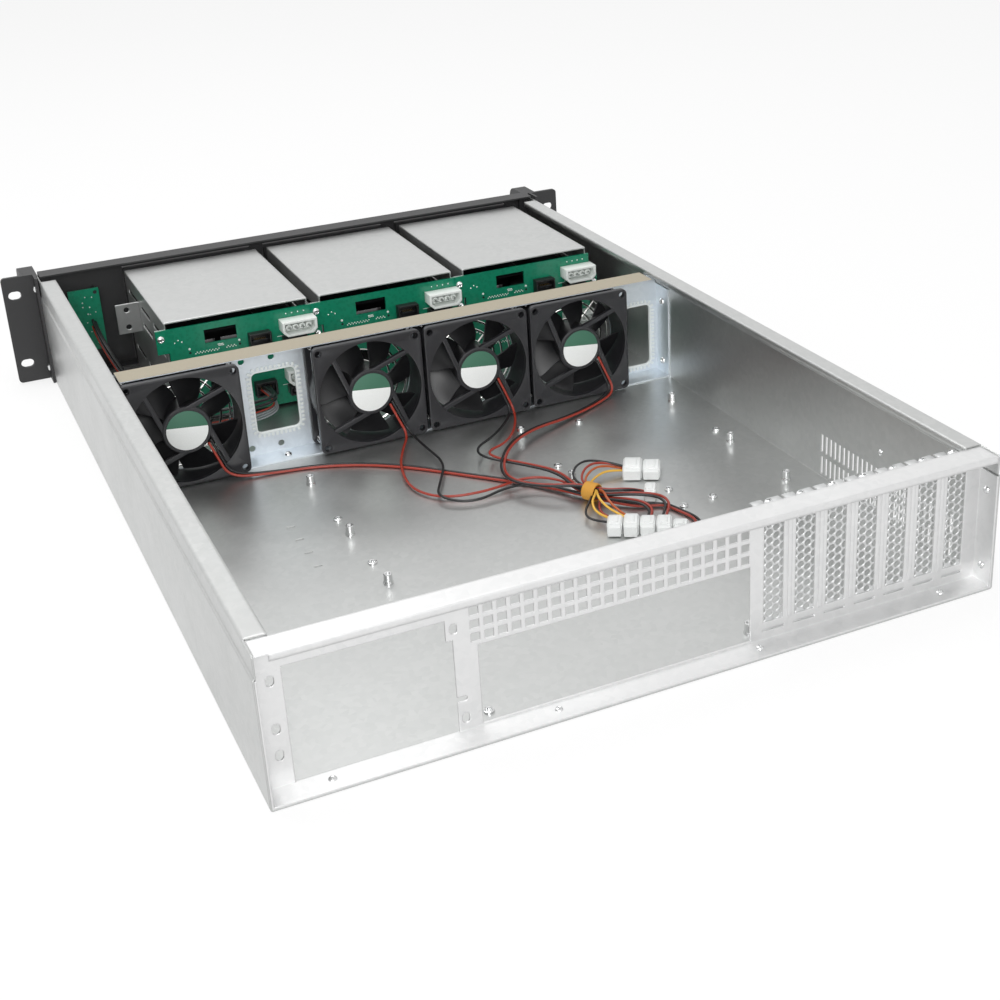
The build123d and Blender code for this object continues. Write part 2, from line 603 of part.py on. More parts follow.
# Fans: square frames with a motor base on four struts, and seven-bladed rotors on a shaft in it
fan_rear = wall_face + fan_depth
duct_radius = fan_bore + duct_wall
hub_front = wall_face + hub_recess
base_front = fan_rear - base_thick
for number, x in enumerate(fan_centres, start=1):
    centre = (x, fan_middle)
    with BuildPart() as fan_frame:
        with BuildSketch(facing_front(fan_rear)):
            with Locations(centre):
                RectangleRounded(fan_size, fan_size, fan_corner)
        extrude(amount=fan_depth)
        with BuildSketch(facing_front(fan_rear - fan_flange)):
            with Locations(centre):
                Rectangle(fan_size + 1, fan_size + 1)
                RegularPolygon(duct_radius, fan_sides, mode=Mode.SUBTRACT)
        extrude(amount=fan_depth - 2 * fan_flange, mode=Mode.SUBTRACT)
        with BuildSketch(facing_front(fan_rear)):
            with Locations(centre):
                RegularPolygon(fan_bore, fan_sides)
                with GridLocations(fan_bolt_pitch, fan_bolt_pitch, 2, 2):
                    RegularPolygon(fan_bolt_radius, small_sides)
        extrude(amount=fan_depth, mode=Mode.SUBTRACT)
        with BuildSketch(facing_front(fan_rear)):
            with Locations(centre):
                with PolarLocations(0, 4):
                    with Locations(Location((base_radius - strut_width / 2 - strut_inset, 0, 0), -strut_lean)):
                        with Locations((0, fan_bore / 2 + 1)):
                            Rectangle(strut_width, fan_bore + 2)
                RegularPolygon(fan_bore + duct_wall / 2, fan_sides, mode=Mode.INTERSECT)
        extrude(amount=base_thick)
        with BuildSketch(facing_front(fan_rear)):
            with Locations(centre):
                RegularPolygon(base_radius, fan_sides)
        extrude(amount=base_thick)
        with BuildSketch(facing_front(base_front)):
            with Locations(centre):
                RegularPolygon(bearing_radius, small_sides)
        extrude(amount=bearing_length)
        with BuildSketch(facing_front(fan_rear - bearing_end)):
            with Locations(centre):
                Circle(shaft_radius + shaft_clearance)
        extrude(amount=fan_depth, mode=Mode.SUBTRACT)
    write(fan_frame, f"fan_frame_{number}")

    hub_length = base_front - spin_gap - hub_front
    with BuildPart() as fan_rotor:
        with BuildSketch(facing_front(base_front - spin_gap)):
            with Locations(centre):
                RegularPolygon(hub_radius, hub_sides)
        extrude(amount=hub_length)
        trailing = -blade_chord / 2 - blade_sweep
        for blade in range(blade_count):
            angle = 360.0 / blade_count * blade
            radial = Vector(cos(radians(angle)), 0, sin(radians(angle)))
            root = Vector(x, ear_y + hub_front + hub_length / 2, fan_middle)
            across = Plane(origin=root, x_dir=(0, 1, 0), z_dir=radial)
            with BuildSketch(across.offset(hub_radius - blade_root)):
                with BuildLine():
                    Polyline(
                        (-hub_length / 2 + 1, blade_chord / 2),
                        (-1.0, blade_rise / 3),
                        (hub_length / 2 - 1, trailing),
                        (hub_length / 2 - 1, trailing - 2 * blade_thick),
                        (-2.0, blade_rise / 3 - 2 * blade_thick),
                        (-hub_length / 2 + 1, blade_chord / 2 - blade_thick),
                        close=True,
                    )
                make_face()
            extrude(amount=fan_bore - tip_clearance - hub_radius + blade_root)
        with BuildSketch(facing_front(base_front - spin_gap)):
            with Locations(centre):
                RegularPolygon(fan_bore - tip_clearance, fan_sides)
        extrude(amount=hub_length, mode=Mode.INTERSECT)
        with BuildSketch(facing_front(base_front - spin_gap)):
            with Locations(centre):
                RegularPolygon(hub_radius - hub_wall, hub_sides)
        extrude(amount=hub_length - hub_wall, mode=Mode.SUBTRACT)
        with BuildSketch(facing_front(fan_rear - shaft_end)):
            with Locations(centre):
                Circle(shaft_radius)
        extrude(amount=fan_rear - shaft_end - hub_front)
    write(fan_rotor, f"fan_rotor_{number}")

# Wire finger guards on the front of the bracket, and the fan screws through their eyes
guard_face = wall_face - sheet
with BuildPart() as fan_guards:
    for x in fan_centres:
        with BuildSketch(facing_front(guard_face)):
            with Locations((x, fan_middle)):
                for ring in guard_rings:
                    RegularPolygon(ring + guard_wire / 2, guard_sides)
                    RegularPolygon(ring - guard_wire / 2, guard_sides, mode=Mode.SUBTRACT)
                for turn in (45, 135):
                    Rectangle(sqrt(2) * fan_bolt_pitch, guard_wire, rotation=turn)
                with GridLocations(fan_bolt_pitch, fan_bolt_pitch, 2, 2):
                    RegularPolygon(guard_eye, small_sides)
        extrude(amount=guard_wire)
write(fan_guards, "fan_guards")

with BuildPart() as fan_screws:
    with BuildSketch(facing_front(guard_face - guard_wire)):
        for x in fan_centres:
            with Locations((x, fan_middle)):
                with GridLocations(fan_bolt_pitch, fan_bolt_pitch, 2, 2):
                    RegularPolygon(head_radius, small_sides)
    extrude(amount=head_height)
write(fan_screws, "fan_screws")

# Motherboard stand-offs on the standard grid, and the low threaded inserts beside them
grid_x = (91.44, -66.04, -190.5)
rear_row = 618.2
grid_y = (rear_row - 312.4, rear_row - 227.33, rear_row - 154.94, rear_row)
standoff_places = [
    (grid_x[0], grid_y[0]), (grid_x[0], grid_y[1]), (grid_x[0], grid_y[2]),
    (grid_x[1], grid_y[0]), (grid_x[1], grid_y[1]), (grid_x[1], grid_y[3]),
    (grid_x[2], grid_y[0]), (grid_x[2], grid_y[1]), (grid_x[2], grid_y[2]),
]
with BuildPart() as standoffs:
    with BuildSketch(Plane.XY.offset(sheet)):
        with Locations([(x, ear_y + depth) for x, depth in standoff_places]):
            RegularPolygon(standoff_radius, small_sides)
    extrude(amount=standoff_height)
    with BuildSketch(Plane.XY.offset(sheet + standoff_height)):
        with Locations([(x, ear_y + depth) for x, depth in standoff_places]):
            Circle(thread_radius)
    extrude(amount=-thread_depth, mode=Mode.SUBTRACT)
write(standoffs, "standoffs")

insert_places = [
    (92.0, 367.0), (91.6, 434.5), (-112.8, 305.0), (-67.0, 366.0), (-191.5, 369.0),
    (-115.0, 437.0), (-135.0, 461.0), (-111.8, 463.3), (grid_x[0], rear_row),
]
with BuildPart() as floor_inserts:
    with BuildSketch(Plane.XY.offset(sheet)):
        with Locations([(x, ear_y + depth) for x, depth in insert_places]):
            RegularPolygon(insert_radius, small_sides)
    extrude(amount=insert_height)
write(floor_inserts, "floor_inserts")

# Screws: on the slot covers, the backplanes, the fan bracket and the ears
tab_screw_left = (cage_width / 2 + board_left) / 2
tab_screw_right = (board_right + board_tab + cage_width / 2) / 2 + 1.0
flange_screw = 10.0
side_screw_rows = (60.6, 11.8)
ear_screw_rows = (78.0, 12.0)
with BuildPart() as case_screws:
    with BuildSketch(Plane.XY.offset(tab_underside + cover_thick)):
        with Locations([(x, plate_y - (ledge_depth + ledge_overhang) / 2) for x in windows]):
            RegularPolygon(head_radius, small_sides)
    extrude(amount=head_height)
    with BuildSketch(facing_front(socket_face + head_height)):
        for x in cage_centres:
            with Locations((x + tab_screw_left, (tab_left_bottom + board_top) / 2),
                           (x - tab_screw_right, (tab_right_bottom + tab_right_top) / 2)):
                RegularPolygon(head_radius, small_sides)
    extrude(amount=head_height)
    with BuildSketch(Plane.XY.offset(2 * sheet)):
        with Locations([(grid_x[0], ear_y + wall_face + flange_screw)]):
            RegularPolygon(head_radius, small_sides)
    extrude(amount=head_height)
    for side in (1, -1):
        with BuildSketch(Plane.YZ.offset(side * upper_inner)):
            with Locations(*[(ear_y + wall_face + flange_screw, z) for z in side_screw_rows]):
                RegularPolygon(head_radius, small_sides)
        extrude(amount=-side * head_height)
        with BuildSketch(Plane.YZ.offset(side * (half + ear_side_thick))):
            with Locations(*[(ear_y + ear_side / 2, z) for z in ear_screw_rows]):
                RegularPolygon(head_radius, small_sides)
        extrude(amount=side * head_height)
write(case_screws, "case_screws")

# Rivets of the rear panel's flanges and of the side walls
rivet_depth = case_depth - 8.5
floor_rivets = (181.3, 59.4, -62.3, -184.3)
side_rivets = (60.8, 12.3)
wall_rivet = (533.8, 43.7)
with BuildPart() as rivets:
    with BuildSketch(Plane.XY.offset(2 * sheet)):
        with Locations([(x, ear_y + rivet_depth) for x in floor_rivets]):
            RegularPolygon(rivet_radius, small_sides)
    extrude(amount=rivet_height)
    for side in (1, -1):
        with BuildSketch(Plane.YZ.offset(side * upper_inner)):
            with Locations(*[(ear_y + rivet_depth, z) for z in side_rivets]):
                RegularPolygon(rivet_radius, small_sides)
        extrude(amount=-side * rivet_height)
    with BuildSketch(Plane.YZ.offset(-inner)):
        with Locations((ear_y + wall_rivet[0], wall_rivet[1])):
            RegularPolygon(rivet_radius, small_sides)
    extrude(amount=rivet_height)
write(rivets, "rivets")

# Control board behind the front panel, its sockets and the two push buttons
with BuildPart() as front_board:
    with BuildSketch(facing_front(control_board_face + board_thick)):
        rectangle(control_board_right, control_board_left, control_board_bottom, control_board_top)
        with Locations(*board_holes):
            Circle(board_hole_radius, mode=Mode.SUBTRACT)
    extrude(amount=board_thick)
write(front_board, "front_board")

with BuildPart() as usb_sockets:
    for z in usb_heights:
        with BuildSketch(facing_front(control_board_face)):
            with Locations((usb_x, z)):
                Rectangle(*usb_size)
        extrude(amount=control_board_face + ear_thick + panel_thick - usb_wall)
        with BuildSketch(facing_front(0)):
            with Locations((usb_x, z)):
                Rectangle(usb_size[0] - 2 * usb_wall, usb_size[1] - 2 * usb_wall)
                Rectangle(*usb_tongue, mode=Mode.SUBTRACT)
        extrude(amount=usb_depth, mode=Mode.SUBTRACT)
write(usb_sockets, "usb_sockets")

with BuildPart() as status_leds:
    for z in led_heights:
        with BuildSketch(facing_front(control_board_face)):
            with Locations((button_at[0], z)):
                Circle(led_radius)
        extrude(amount=control_board_face + ear_thick + panel_thick)
write(status_leds, "status_leds")

buttons = (("power_button", button_at, button_radius), ("reset_button", reset_at, reset_radius))
for name, place, radius in buttons:
    with BuildPart() as button:
        with BuildSketch(facing_front(0)):
            with Locations(place):
                Circle(radius)
        extrude(amount=ear_thick + panel_thick + button_proud)
        with BuildSketch(facing_front(-0.2)):
            with Locations(place):
                Circle(radius + button_flange)
        extrude(amount=ear_thick - 0.2 - button_gap)
        with BuildSketch(facing_front(control_board_face - button_travel - 0.2)):
            with Locations(place):
                Circle(button_stem)
        extrude(amount=control_board_face)
    write(button, name)

# Fan wiring: two wires from each fan meet in a tie and end in their plugs, all lying loose on the floor
wire_radius = 0.9
lead_radius = 1.8
wire_routes = {
    "fan_wire_1_black": [
        (146.7, 265.3, 32.1), (142.4, 268.0, 20.3), (136.8, 270.2, 5.0), (112.0, 274.0, 2.1), (72.0, 281.0, 2.1),
        (30.0, 306.0, 2.1), (-10.0, 350.0, 2.1), (-44.0, 389.0, 2.8), (-60.45, 416.65, 3.7), (-69.45, 432.25, 3.7),
        (-86.0, 450.0, 2.6), (-102.0, 454.5, 2.6), (-106.0, 467.0, 2.6), (-110.5, 483.0, 2.6), (-107.0, 495.5, 3.5),
        (-97.3, 496.5, 5.0),
    ],
    "fan_wire_1_red": [
        (148.3, 265.3, 30.05), (144.5, 268.0, 19.5), (138.9, 272.4, 4.2), (112.8, 276.4, 2.1), (73.2, 283.3, 2.1),
        (31.8, 308.0, 2.1), (-8.2, 351.7, 2.1), (-42.0, 390.3, 2.8), (-58.55, 417.75, 3.7), (-67.55, 433.35, 3.7),
        (-85.0, 452.4, 2.6), (-100.4, 456.6, 2.6), (-103.8, 467.2, 2.6), (-108.2, 482.6, 2.6), (-105.0, 492.6, 3.5),
        (-98.6, 494.3, 5.0),
    ],
    "fan_wire_2_black": [
        (15.6, 265.3, 32.1), (11.3, 268.0, 20.3), (5.7, 270.2, 6.5), (3.5, 298.0, 4.6), (1.5, 328.0, 4.9),
        (16.0, 356.0, 5.2), (27.0, 378.0, 6.0), (8.0, 395.0, 4.0), (-22.0, 387.5, 6.8), (-44.0, 395.0, 5.6),
        (-56.64, 418.85, 5.9), (-65.64, 434.45, 5.9), (-78.5, 448.3, 7.2), (-86.2, 456.0, 6.3), (-85.8, 467.4, 5.3),
        (-77.7, 474.3, 5.2),
    ],
    "fan_wire_2_red": [
        (17.2, 265.3, 30.05), (13.4, 268.0, 19.5), (7.8, 271.4, 5.5), (19.0, 291.0, 5.0), (31.0, 318.0, 4.9),
        (36.0, 352.0, 3.0), (22.0, 377.0, 3.4), (-8.0, 384.0, 4.6), (-38.0, 379.0, 6.2), (-56.5, 396.0, 6.0),
        (-58.55, 417.75, 5.9), (-67.55, 433.35, 5.9), (-80.5, 446.5, 7.5), (-88.5, 455.5, 6.5), (-88.0, 467.5, 5.5),
        (-79.6, 475.35, 5.2),
    ],
    "fan_wire_3_black": [
        (-65.4, 265.3, 30.05), (-69.2, 268.0, 19.5), (-74.0, 270.8, 5.8), (-58.0, 291.0, 5.0), (-41.0, 309.0, 6.5),
        (-24.0, 322.0, 7.6), (-22.0, 339.5, 7.8), (-42.5, 365.2, 7.8), (-56.0, 389.7, 8.8), (-56.64, 418.85, 8.1),
        (-65.64, 434.45, 8.1), (-82.0, 445.8, 10.0), (-96.5, 454.0, 8.8), (-99.3, 462.4, 7.0), (-93.8, 470.6, 6.0),
        (-86.7, 479.1, 5.5),
    ],
    "fan_wire_3_red": [
        (-67.0, 265.3, 32.1), (-71.3, 268.0, 20.3), (-76.9, 270.2, 5.0), (-66.0, 296.0, 4.2), (-48.0, 322.0, 6.5),
        (-29.0, 330.5, 7.4), (-29.5, 343.5, 7.6), (-44.5, 363.5, 7.8), (-58.5, 388.0, 8.8), (-58.55, 417.75, 8.1),
        (-67.55, 433.35, 8.1), (-83.5, 443.5, 10.0), (-100.0, 453.5, 8.8), (-101.5, 463.0, 7.0), (-95.5, 472.0, 6.0),
        (-88.6, 480.2, 5.5),
    ],
    "fan_wire_4_black": [
        (-148.0, 265.3, 30.05), (-151.8, 268.0, 19.5), (-157.2, 269.9, 5.4), (-140.0, 281.0, 3.2), (-108.0, 296.0, 3.5),
        (-72.0, 310.5, 7.8), (-43.0, 334.0, 10.6), (-24.0, 364.0, 9.8), (-22.0, 386.0, 9.2), (-36.5, 406.5, 10.0),
        (-58.55, 417.75, 10.5), (-67.55, 433.35, 10.5), (-79.5, 443.2, 12.6), (-89.5, 440.8, 9.0), (-94.35, 440.0, 5.6),
    ],
    "fan_wire_4_red": [
        (-149.6, 265.3, 32.1), (-153.9, 268.0, 20.3), (-159.8, 271.6, 4.2), (-140.9, 283.0, 2.6), (-108.9, 298.0, 3.4),
        (-73.1, 312.4, 7.8), (-44.6, 335.5, 10.6), (-26.1, 364.7, 9.8), (-24.1, 385.4, 9.2), (-37.9, 404.8, 10.0),
        (-60.45, 416.65, 10.5), (-69.45, 432.25, 10.5), (-80.0, 441.0, 12.4), (-89.0, 438.3, 8.6), (-95.5, 438.0, 5.6),
    ],
    "power_lead": [
        (-99.4, 400.3, 6.0), (-87.0, 393.5, 9.0), (-73.5, 399.0, 9.5), (-61.4, 416.1, 7.1), (-67.4, 426.5, 7.1),
    ],
}
for name, route in wire_routes.items():
    points = [Vector(x, ear_y + depth, z) for x, depth, z in route]
    radii = []
    for before, here, after in zip(points, points[1:], points[2:]):
        turn = (here - before).get_angle(after - here)
        shorter = min((here - before).length, (after - here).length)
        radii.append(0.45 * shorter / tan(radians(turn / 2)))
    radius = lead_radius if name == "power_lead" else wire_radius
    with BuildPart() as wire:
        with BuildLine() as path:
            FilletPolyline(*points, radius=radii)
        with BuildSketch(Plane(origin=points[0], z_dir=points[1] - points[0])):
            Circle(radius)
        sweep()
    length = sum(edge.length for edge in path.edges())
    print(name, "length", round(length, 1), "least radius", round(min(radii), 1),
          "volume over section times length", round(wire.part.volume / (pi * radius**2 * length), 4))
    write(wire, name)

# Plugs: a mated power pair, a row of five standing side by side, and a small one apart
plug_turn = -30.0
plug_height = 8.5
row_x, row_depth = -57.0, 472.0
row_step = (-9.0, 5.2)
row_plugs = ((9.8, 17.0, plug_height), (9.8, 18.0, plug_height + 0.6), (9.8, 16.0, plug_height),
             (9.8, 17.0, plug_height), (9.8, 12.0, 7.0))
plug_places = [((-105.4, 403.75), (13.0, 21.0, 9.0)), ((-116.6, 410.22), (12.0, 19.5, 8.0)),
               ((-99.5, 440.5), (8.0, 16.0, 8.0))]
for steps, size in enumerate(row_plugs):
    plug_places.append(((row_x + row_step[0] * steps, row_depth + row_step[1] * steps), size))
with BuildPart() as fan_plugs:
    for (x, depth), (length, width, height) in plug_places:
        with Locations(Location((x, ear_y + depth, sheet + height / 2), (0, 0, plug_turn))):
            Box(length, width, height)
write(fan_plugs, "fan_plugs")

# Tie wound round the bundle
tie_outer, tie_inner, tie_length = 6.3, 5.2, 9.0
with BuildPart() as wire_tie:
    bundle = Vector(-0.5, 0.866, 0)
    with BuildSketch(Plane(origin=Vector(-64.0, ear_y + 425.0, 7.6) - bundle * (tie_length / 2), z_dir=bundle)):
        Circle(tie_outer)
        Circle(tie_inner, mode=Mode.SUBTRACT)
    extrude(amount=tie_length)
write(wire_tie, "wire_tie")
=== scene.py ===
"""An empty 2U server case with its lid off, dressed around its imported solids, in metres."""

import math

import bmesh
import bpy
from mathutils import Matrix, Vector


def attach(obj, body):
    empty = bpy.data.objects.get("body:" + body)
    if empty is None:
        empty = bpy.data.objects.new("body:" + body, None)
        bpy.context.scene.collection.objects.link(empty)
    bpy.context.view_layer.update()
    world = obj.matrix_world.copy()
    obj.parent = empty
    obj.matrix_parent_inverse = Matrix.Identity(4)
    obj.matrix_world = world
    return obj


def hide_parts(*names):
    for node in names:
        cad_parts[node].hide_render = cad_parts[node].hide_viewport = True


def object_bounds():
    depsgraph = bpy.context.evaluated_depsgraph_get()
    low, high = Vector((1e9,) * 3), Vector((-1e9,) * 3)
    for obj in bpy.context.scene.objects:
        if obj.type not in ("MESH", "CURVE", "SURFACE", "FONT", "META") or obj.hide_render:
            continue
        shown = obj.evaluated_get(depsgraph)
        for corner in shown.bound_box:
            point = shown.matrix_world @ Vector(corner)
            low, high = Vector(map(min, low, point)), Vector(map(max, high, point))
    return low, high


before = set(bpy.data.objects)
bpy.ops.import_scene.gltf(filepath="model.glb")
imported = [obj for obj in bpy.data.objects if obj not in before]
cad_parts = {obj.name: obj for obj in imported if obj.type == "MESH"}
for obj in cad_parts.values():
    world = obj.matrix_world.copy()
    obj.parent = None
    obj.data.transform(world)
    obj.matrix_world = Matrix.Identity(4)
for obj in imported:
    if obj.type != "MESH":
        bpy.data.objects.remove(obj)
solid_low, solid_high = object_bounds()

# Studio
# A pale sweep under soft boxes: a large one overhead, one at the open rear and one behind the camera.
# The sweep glows for the camera so that it stays white, and still takes the case's faint shadow.
MM = 0.001
EAR_PLANE = -302 * MM
SWEEP_WHITE = "#fbfbfb"
SWEEP_SIZE = 12.0
SWEEP_GAP = 0.4 * MM
SHADOW_SHARE = 0.22
AMBIENT = 0.55
# Each lamp's place, what it faces, its side in metres and its watts
SOFT_BOXES = {
    "overhead_box": ((0.3, -0.6, 1.9), (0, 0.05, 0), 1.5, 18),
    "rear_box": ((0.9, 1.7, 1.1), (0.1, 0.2, 0), 0.9, 10),
    "camera_box": ((0.55, 1.9, 0.85), (0.0, -0.05, 0.04), 0.7, 15),
}


def linear(srgb_hex):
    """The linear colour of an sRGB hex value."""
    parts = [int(srgb_hex[i : i + 2], 16) / 255 for i in (1, 3, 5)]
    return [p / 12.92 if p <= 0.04045 else ((p + 0.055) / 1.055) ** 2.4 for p in parts] + [1.0]


def feed(tree, made, inputs):
    """Give each named input of a node its value or its link."""
    for name, value in inputs.items():
        if isinstance(value, bpy.types.NodeSocket):
            tree.links.new(value, made.inputs[name])
        else:
            made.inputs[name].default_value = value


def node(tree, kind, inputs=None, **settings):
    """Add a node with its settings and inputs."""
    made = tree.nodes.new(kind)
    for name, value in settings.items():
        setattr(made, name, value)
    feed(tree, made, inputs or {})
    return made


def maths(tree, operation, first, second):
    """The socket of an operation on two values."""
    return node(tree, "ShaderNodeMath", {0: first, 1: second}, operation=operation).outputs[0]


def ranged(tree, value, low, high, window=(0.0, 1.0)):
    """The socket of a value whose window is spread over a range."""
    return node(tree, "ShaderNodeMapRange", {"Value": value, "From Min": window[0], "From Max": window[1],
                                             "To Min": low, "To Max": high}).outputs[0]


def finish_of(name):
    """A new material with its node tree and shader."""
    made = bpy.data.materials.new(name)
    made.use_nodes = True
    tree = made.node_tree
    return made, tree, tree.nodes["Principled BSDF"]


def seen_directly(tree):
    """1 for camera, mirror and see-through rays, and 0 for light that falls on the object."""
    ray = node(tree, "ShaderNodeLightPath").outputs
    either = maths(tree, "MAXIMUM", ray["Is Camera Ray"], ray["Is Glossy Ray"])
    return maths(tree, "MAXIMUM", either, ray["Is Transmission Ray"])


world = bpy.data.worlds.new("studio")
world.use_nodes = True
bpy.context.scene.world = world
sky = world.node_tree
strength = ranged(sky, seen_directly(sky), AMBIENT, 1.0)
feed(sky, sky.nodes["Background"], {"Color": (1, 1, 1, 1), "Strength": strength})

sweep_paper, tree, shader = finish_of("sweep_paper")
feed(tree, shader, {"Base Color": linear(SWEEP_WHITE), "Roughness": 1.0})
glow = node(tree, "ShaderNodeEmission", {"Color": (1, 1, 1, 1), "Strength": 1.0})
share = maths(tree, "MULTIPLY", seen_directly(tree), 1 - SHADOW_SHARE)
mixed = node(tree, "ShaderNodeMixShader", {0: share, 1: shader.outputs[0], 2: glow.outputs[0]})
feed(tree, tree.nodes["Material Output"], {"Surface": mixed.outputs[0]})
half = SWEEP_SIZE / 2
sweep_corners = [(-half, -half, 0), (half, -half, 0), (half, half, 0), (-half, half, 0)]
sweep_mesh = bpy.data.meshes.new("sweep")
sweep_mesh.from_pydata(sweep_corners, [], [(0, 1, 2, 3)])
sweep_mesh.materials.append(sweep_paper)
sweep = bpy.data.objects.new("sweep", sweep_mesh)
sweep.location.z = solid_low.z - SWEEP_GAP
bpy.context.collection.objects.link(sweep)

for name, (place, target, size, watts) in SOFT_BOXES.items():
    lamp = bpy.data.lights.new(name, "AREA")
    lamp.size, lamp.energy = size, watts
    soft_box = bpy.data.objects.new(name, lamp)
    soft_box.location = place
    soft_box.rotation_euler = (Vector(target) - Vector(place)).to_track_quat("-Z", "Y").to_euler()
    bpy.context.collection.objects.link(soft_box)

# Camera
# It looks down into the case from behind its left corner, as the photograph does.
PHOTO_SIDE = 1000
CAMERA_AZIMUTH = math.radians(154.78)
CAMERA_ELEVATION = math.radians(23.70)
CAMERA_ROLL = math.radians(-2.28)
CAMERA_DISTANCE = 850.3 * MM
CAMERA_TARGET = Vector((1.88 * MM, EAR_PLANE + 558.28 * MM, 119.73 * MM))
FOCAL_PIXELS = 1568.18
OPTICAL_CENTRE = (584.75, 426.36)
SENSOR = 36.0

camera_data = bpy.data.cameras.new("camera")
camera_data.sensor_width = SENSOR
camera_data.lens = FOCAL_PIXELS / PHOTO_SIDE * SENSOR
camera_data.shift_x = 0.5 - OPTICAL_CENTRE[0] / PHOTO_SIDE
camera_data.shift_y = OPTICAL_CENTRE[1] / PHOTO_SIDE - 0.5
camera_data.clip_start, camera_data.clip_end = 0.02, 60
camera = bpy.data.objects.new("camera", camera_data)
outward = Vector((
    math.sin(CAMERA_AZIMUTH) * math.cos(CAMERA_ELEVATION),
    -math.cos(CAMERA_AZIMUTH) * math.cos(CAMERA_ELEVATION),
    math.sin(CAMERA_ELEVATION),
))
level = Vector((math.cos(CAMERA_AZIMUTH), math.sin(CAMERA_AZIMUTH), 0))
upward = outward.cross(level)
tilted_right = level * math.cos(CAMERA_ROLL) + upward * math.sin(CAMERA_ROLL)
tilted_up = upward * math.cos(CAMERA_ROLL) - level * math.sin(CAMERA_ROLL)
turn = Matrix((tilted_right, tilted_up, outward)).transposed().to_4x4()
camera.matrix_world = Matrix.Translation(CAMERA_TARGET + outward * CAMERA_DISTANCE) @ turn
bpy.context.collection.objects.link(camera)
bpy.context.scene.camera = camera
bpy.context.scene.view_settings.view_transform = "Standard"

# Chassis tray and drive cages
# Folded from hot dip galvanised steel sheet about a millimetre thick and left bare.
# The zinc gives a soft grey mirror: faint spangle a few millimetres across over fine rolling lines.
ZINC = "#c6c7c6"
ZINC_SHADE = "#b8bab9"
SPANGLE_SIZE = 3.5 * MM
DRIFT_SIZE = 60 * MM
ROLLING_LINE = 0.5 * MM
FOLD_RADIUS = 0.9 * MM
ROLL_RADIUS = 2.6 * MM
RIM_HEIGHT = 80.6 * MM
ZINC_ROUGHNESS = (0.34, 0.42)
DRIFT_WINDOW = (0.3, 0.7)
LINE_STRETCH, LINE_DEPTH = 0.02, 0.06
RELIEF = 0.2 * MM


def dress(finish, *names):
    """Give carried-over solids their finish."""
    for name in names:
        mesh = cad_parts[name].data
        mesh.materials.clear()
        mesh.materials.append(finish)


def in_object(tree):
    """The socket of the place in the object."""
    return node(tree, "ShaderNodeTexCoord").outputs["Object"]


def noise(tree, place, size, detail=2.0):
    """The socket of a smooth noise whose patches have a size in metres."""
    made = node(tree, "ShaderNodeTexNoise", {"Vector": place, "Scale": 1 / size, "Detail": detail})
    return made.outputs["Fac"]


def blend(tree, share, first, second, kind="RGBA"):
    """The socket of a mix of two colours or two directions."""
    low, high, result = {"RGBA": (6, 7, 2), "VECTOR": (4, 5, 1)}[kind]
    made = node(tree, "ShaderNodeMix", {"Factor": share, low: first, high: second}, data_type=kind)
    return made.outputs[result]


def bumped(tree, height, strength, distance=RELIEF, **more):
    """The socket of a surface direction with a relief on it."""
    return node(tree, "ShaderNodeBump", {"Height": height, "Strength": strength, "Distance": distance,
                                         **more}).outputs[0]


def zinc_sheet(name, bright, shade, roughness, rolling_axis):
    """Galvanised sheet: spangle, a drift in its gloss, rolling lines along one axis, and a rolled rim."""
    made, tree, shader = finish_of(name)
    place = in_object(tree)
    spangle = node(tree, "ShaderNodeTexVoronoi", {"Vector": place, "Scale": 1 / SPANGLE_SIZE})
    drift = noise(tree, place, DRIFT_SIZE)
    stretch = [1.0, 1.0, 1.0]
    stretch[rolling_axis] = LINE_STRETCH
    drawn_out = node(tree, "ShaderNodeMapping", {"Vector": place, "Scale": stretch}).outputs[0]
    lines = noise(tree, drawn_out, ROLLING_LINE)
    patch = maths(tree, "MULTIPLY", spangle.outputs["Color"], drift)
    fold = node(tree, "ShaderNodeBevel", {"Radius": FOLD_RADIUS}, samples=4).outputs[0]
    roll = node(tree, "ShaderNodeBevel", {"Radius": ROLL_RADIUS}, samples=8).outputs[0]
    height = node(tree, "ShaderNodeSeparateXYZ", {0: place}).outputs["Z"]
    rounded = blend(tree, maths(tree, "GREATER_THAN", height, RIM_HEIGHT), fold, roll, "VECTOR")
    feed(tree, shader, {
        "Metallic": 1.0,
        "Base Color": blend(tree, patch, linear(bright), linear(shade)),
        "Roughness": ranged(tree, drift, *roughness, window=DRIFT_WINDOW),
        "Normal": bumped(tree, lines, LINE_DEPTH, Normal=rounded),
    })
    return made


galvanised = zinc_sheet("galvanised_steel", ZINC, ZINC_SHADE, ZINC_ROUGHNESS, 1)
dress(galvanised, "chassis_tray", *[f"drive_cage_{i}" for i in (1, 2, 3)])

# Rear panel
# The same sheet, its base painted lighter than the chassis as painted light, since it is seen almost square
# to the light and reads nearly white.
painted_light_zinc = zinc_sheet("galvanised_steel_painted_light", "#e0e0e0", "#d3d4d4", (0.40, 0.5), 0)
dress(painted_light_zinc, "rear_panel")

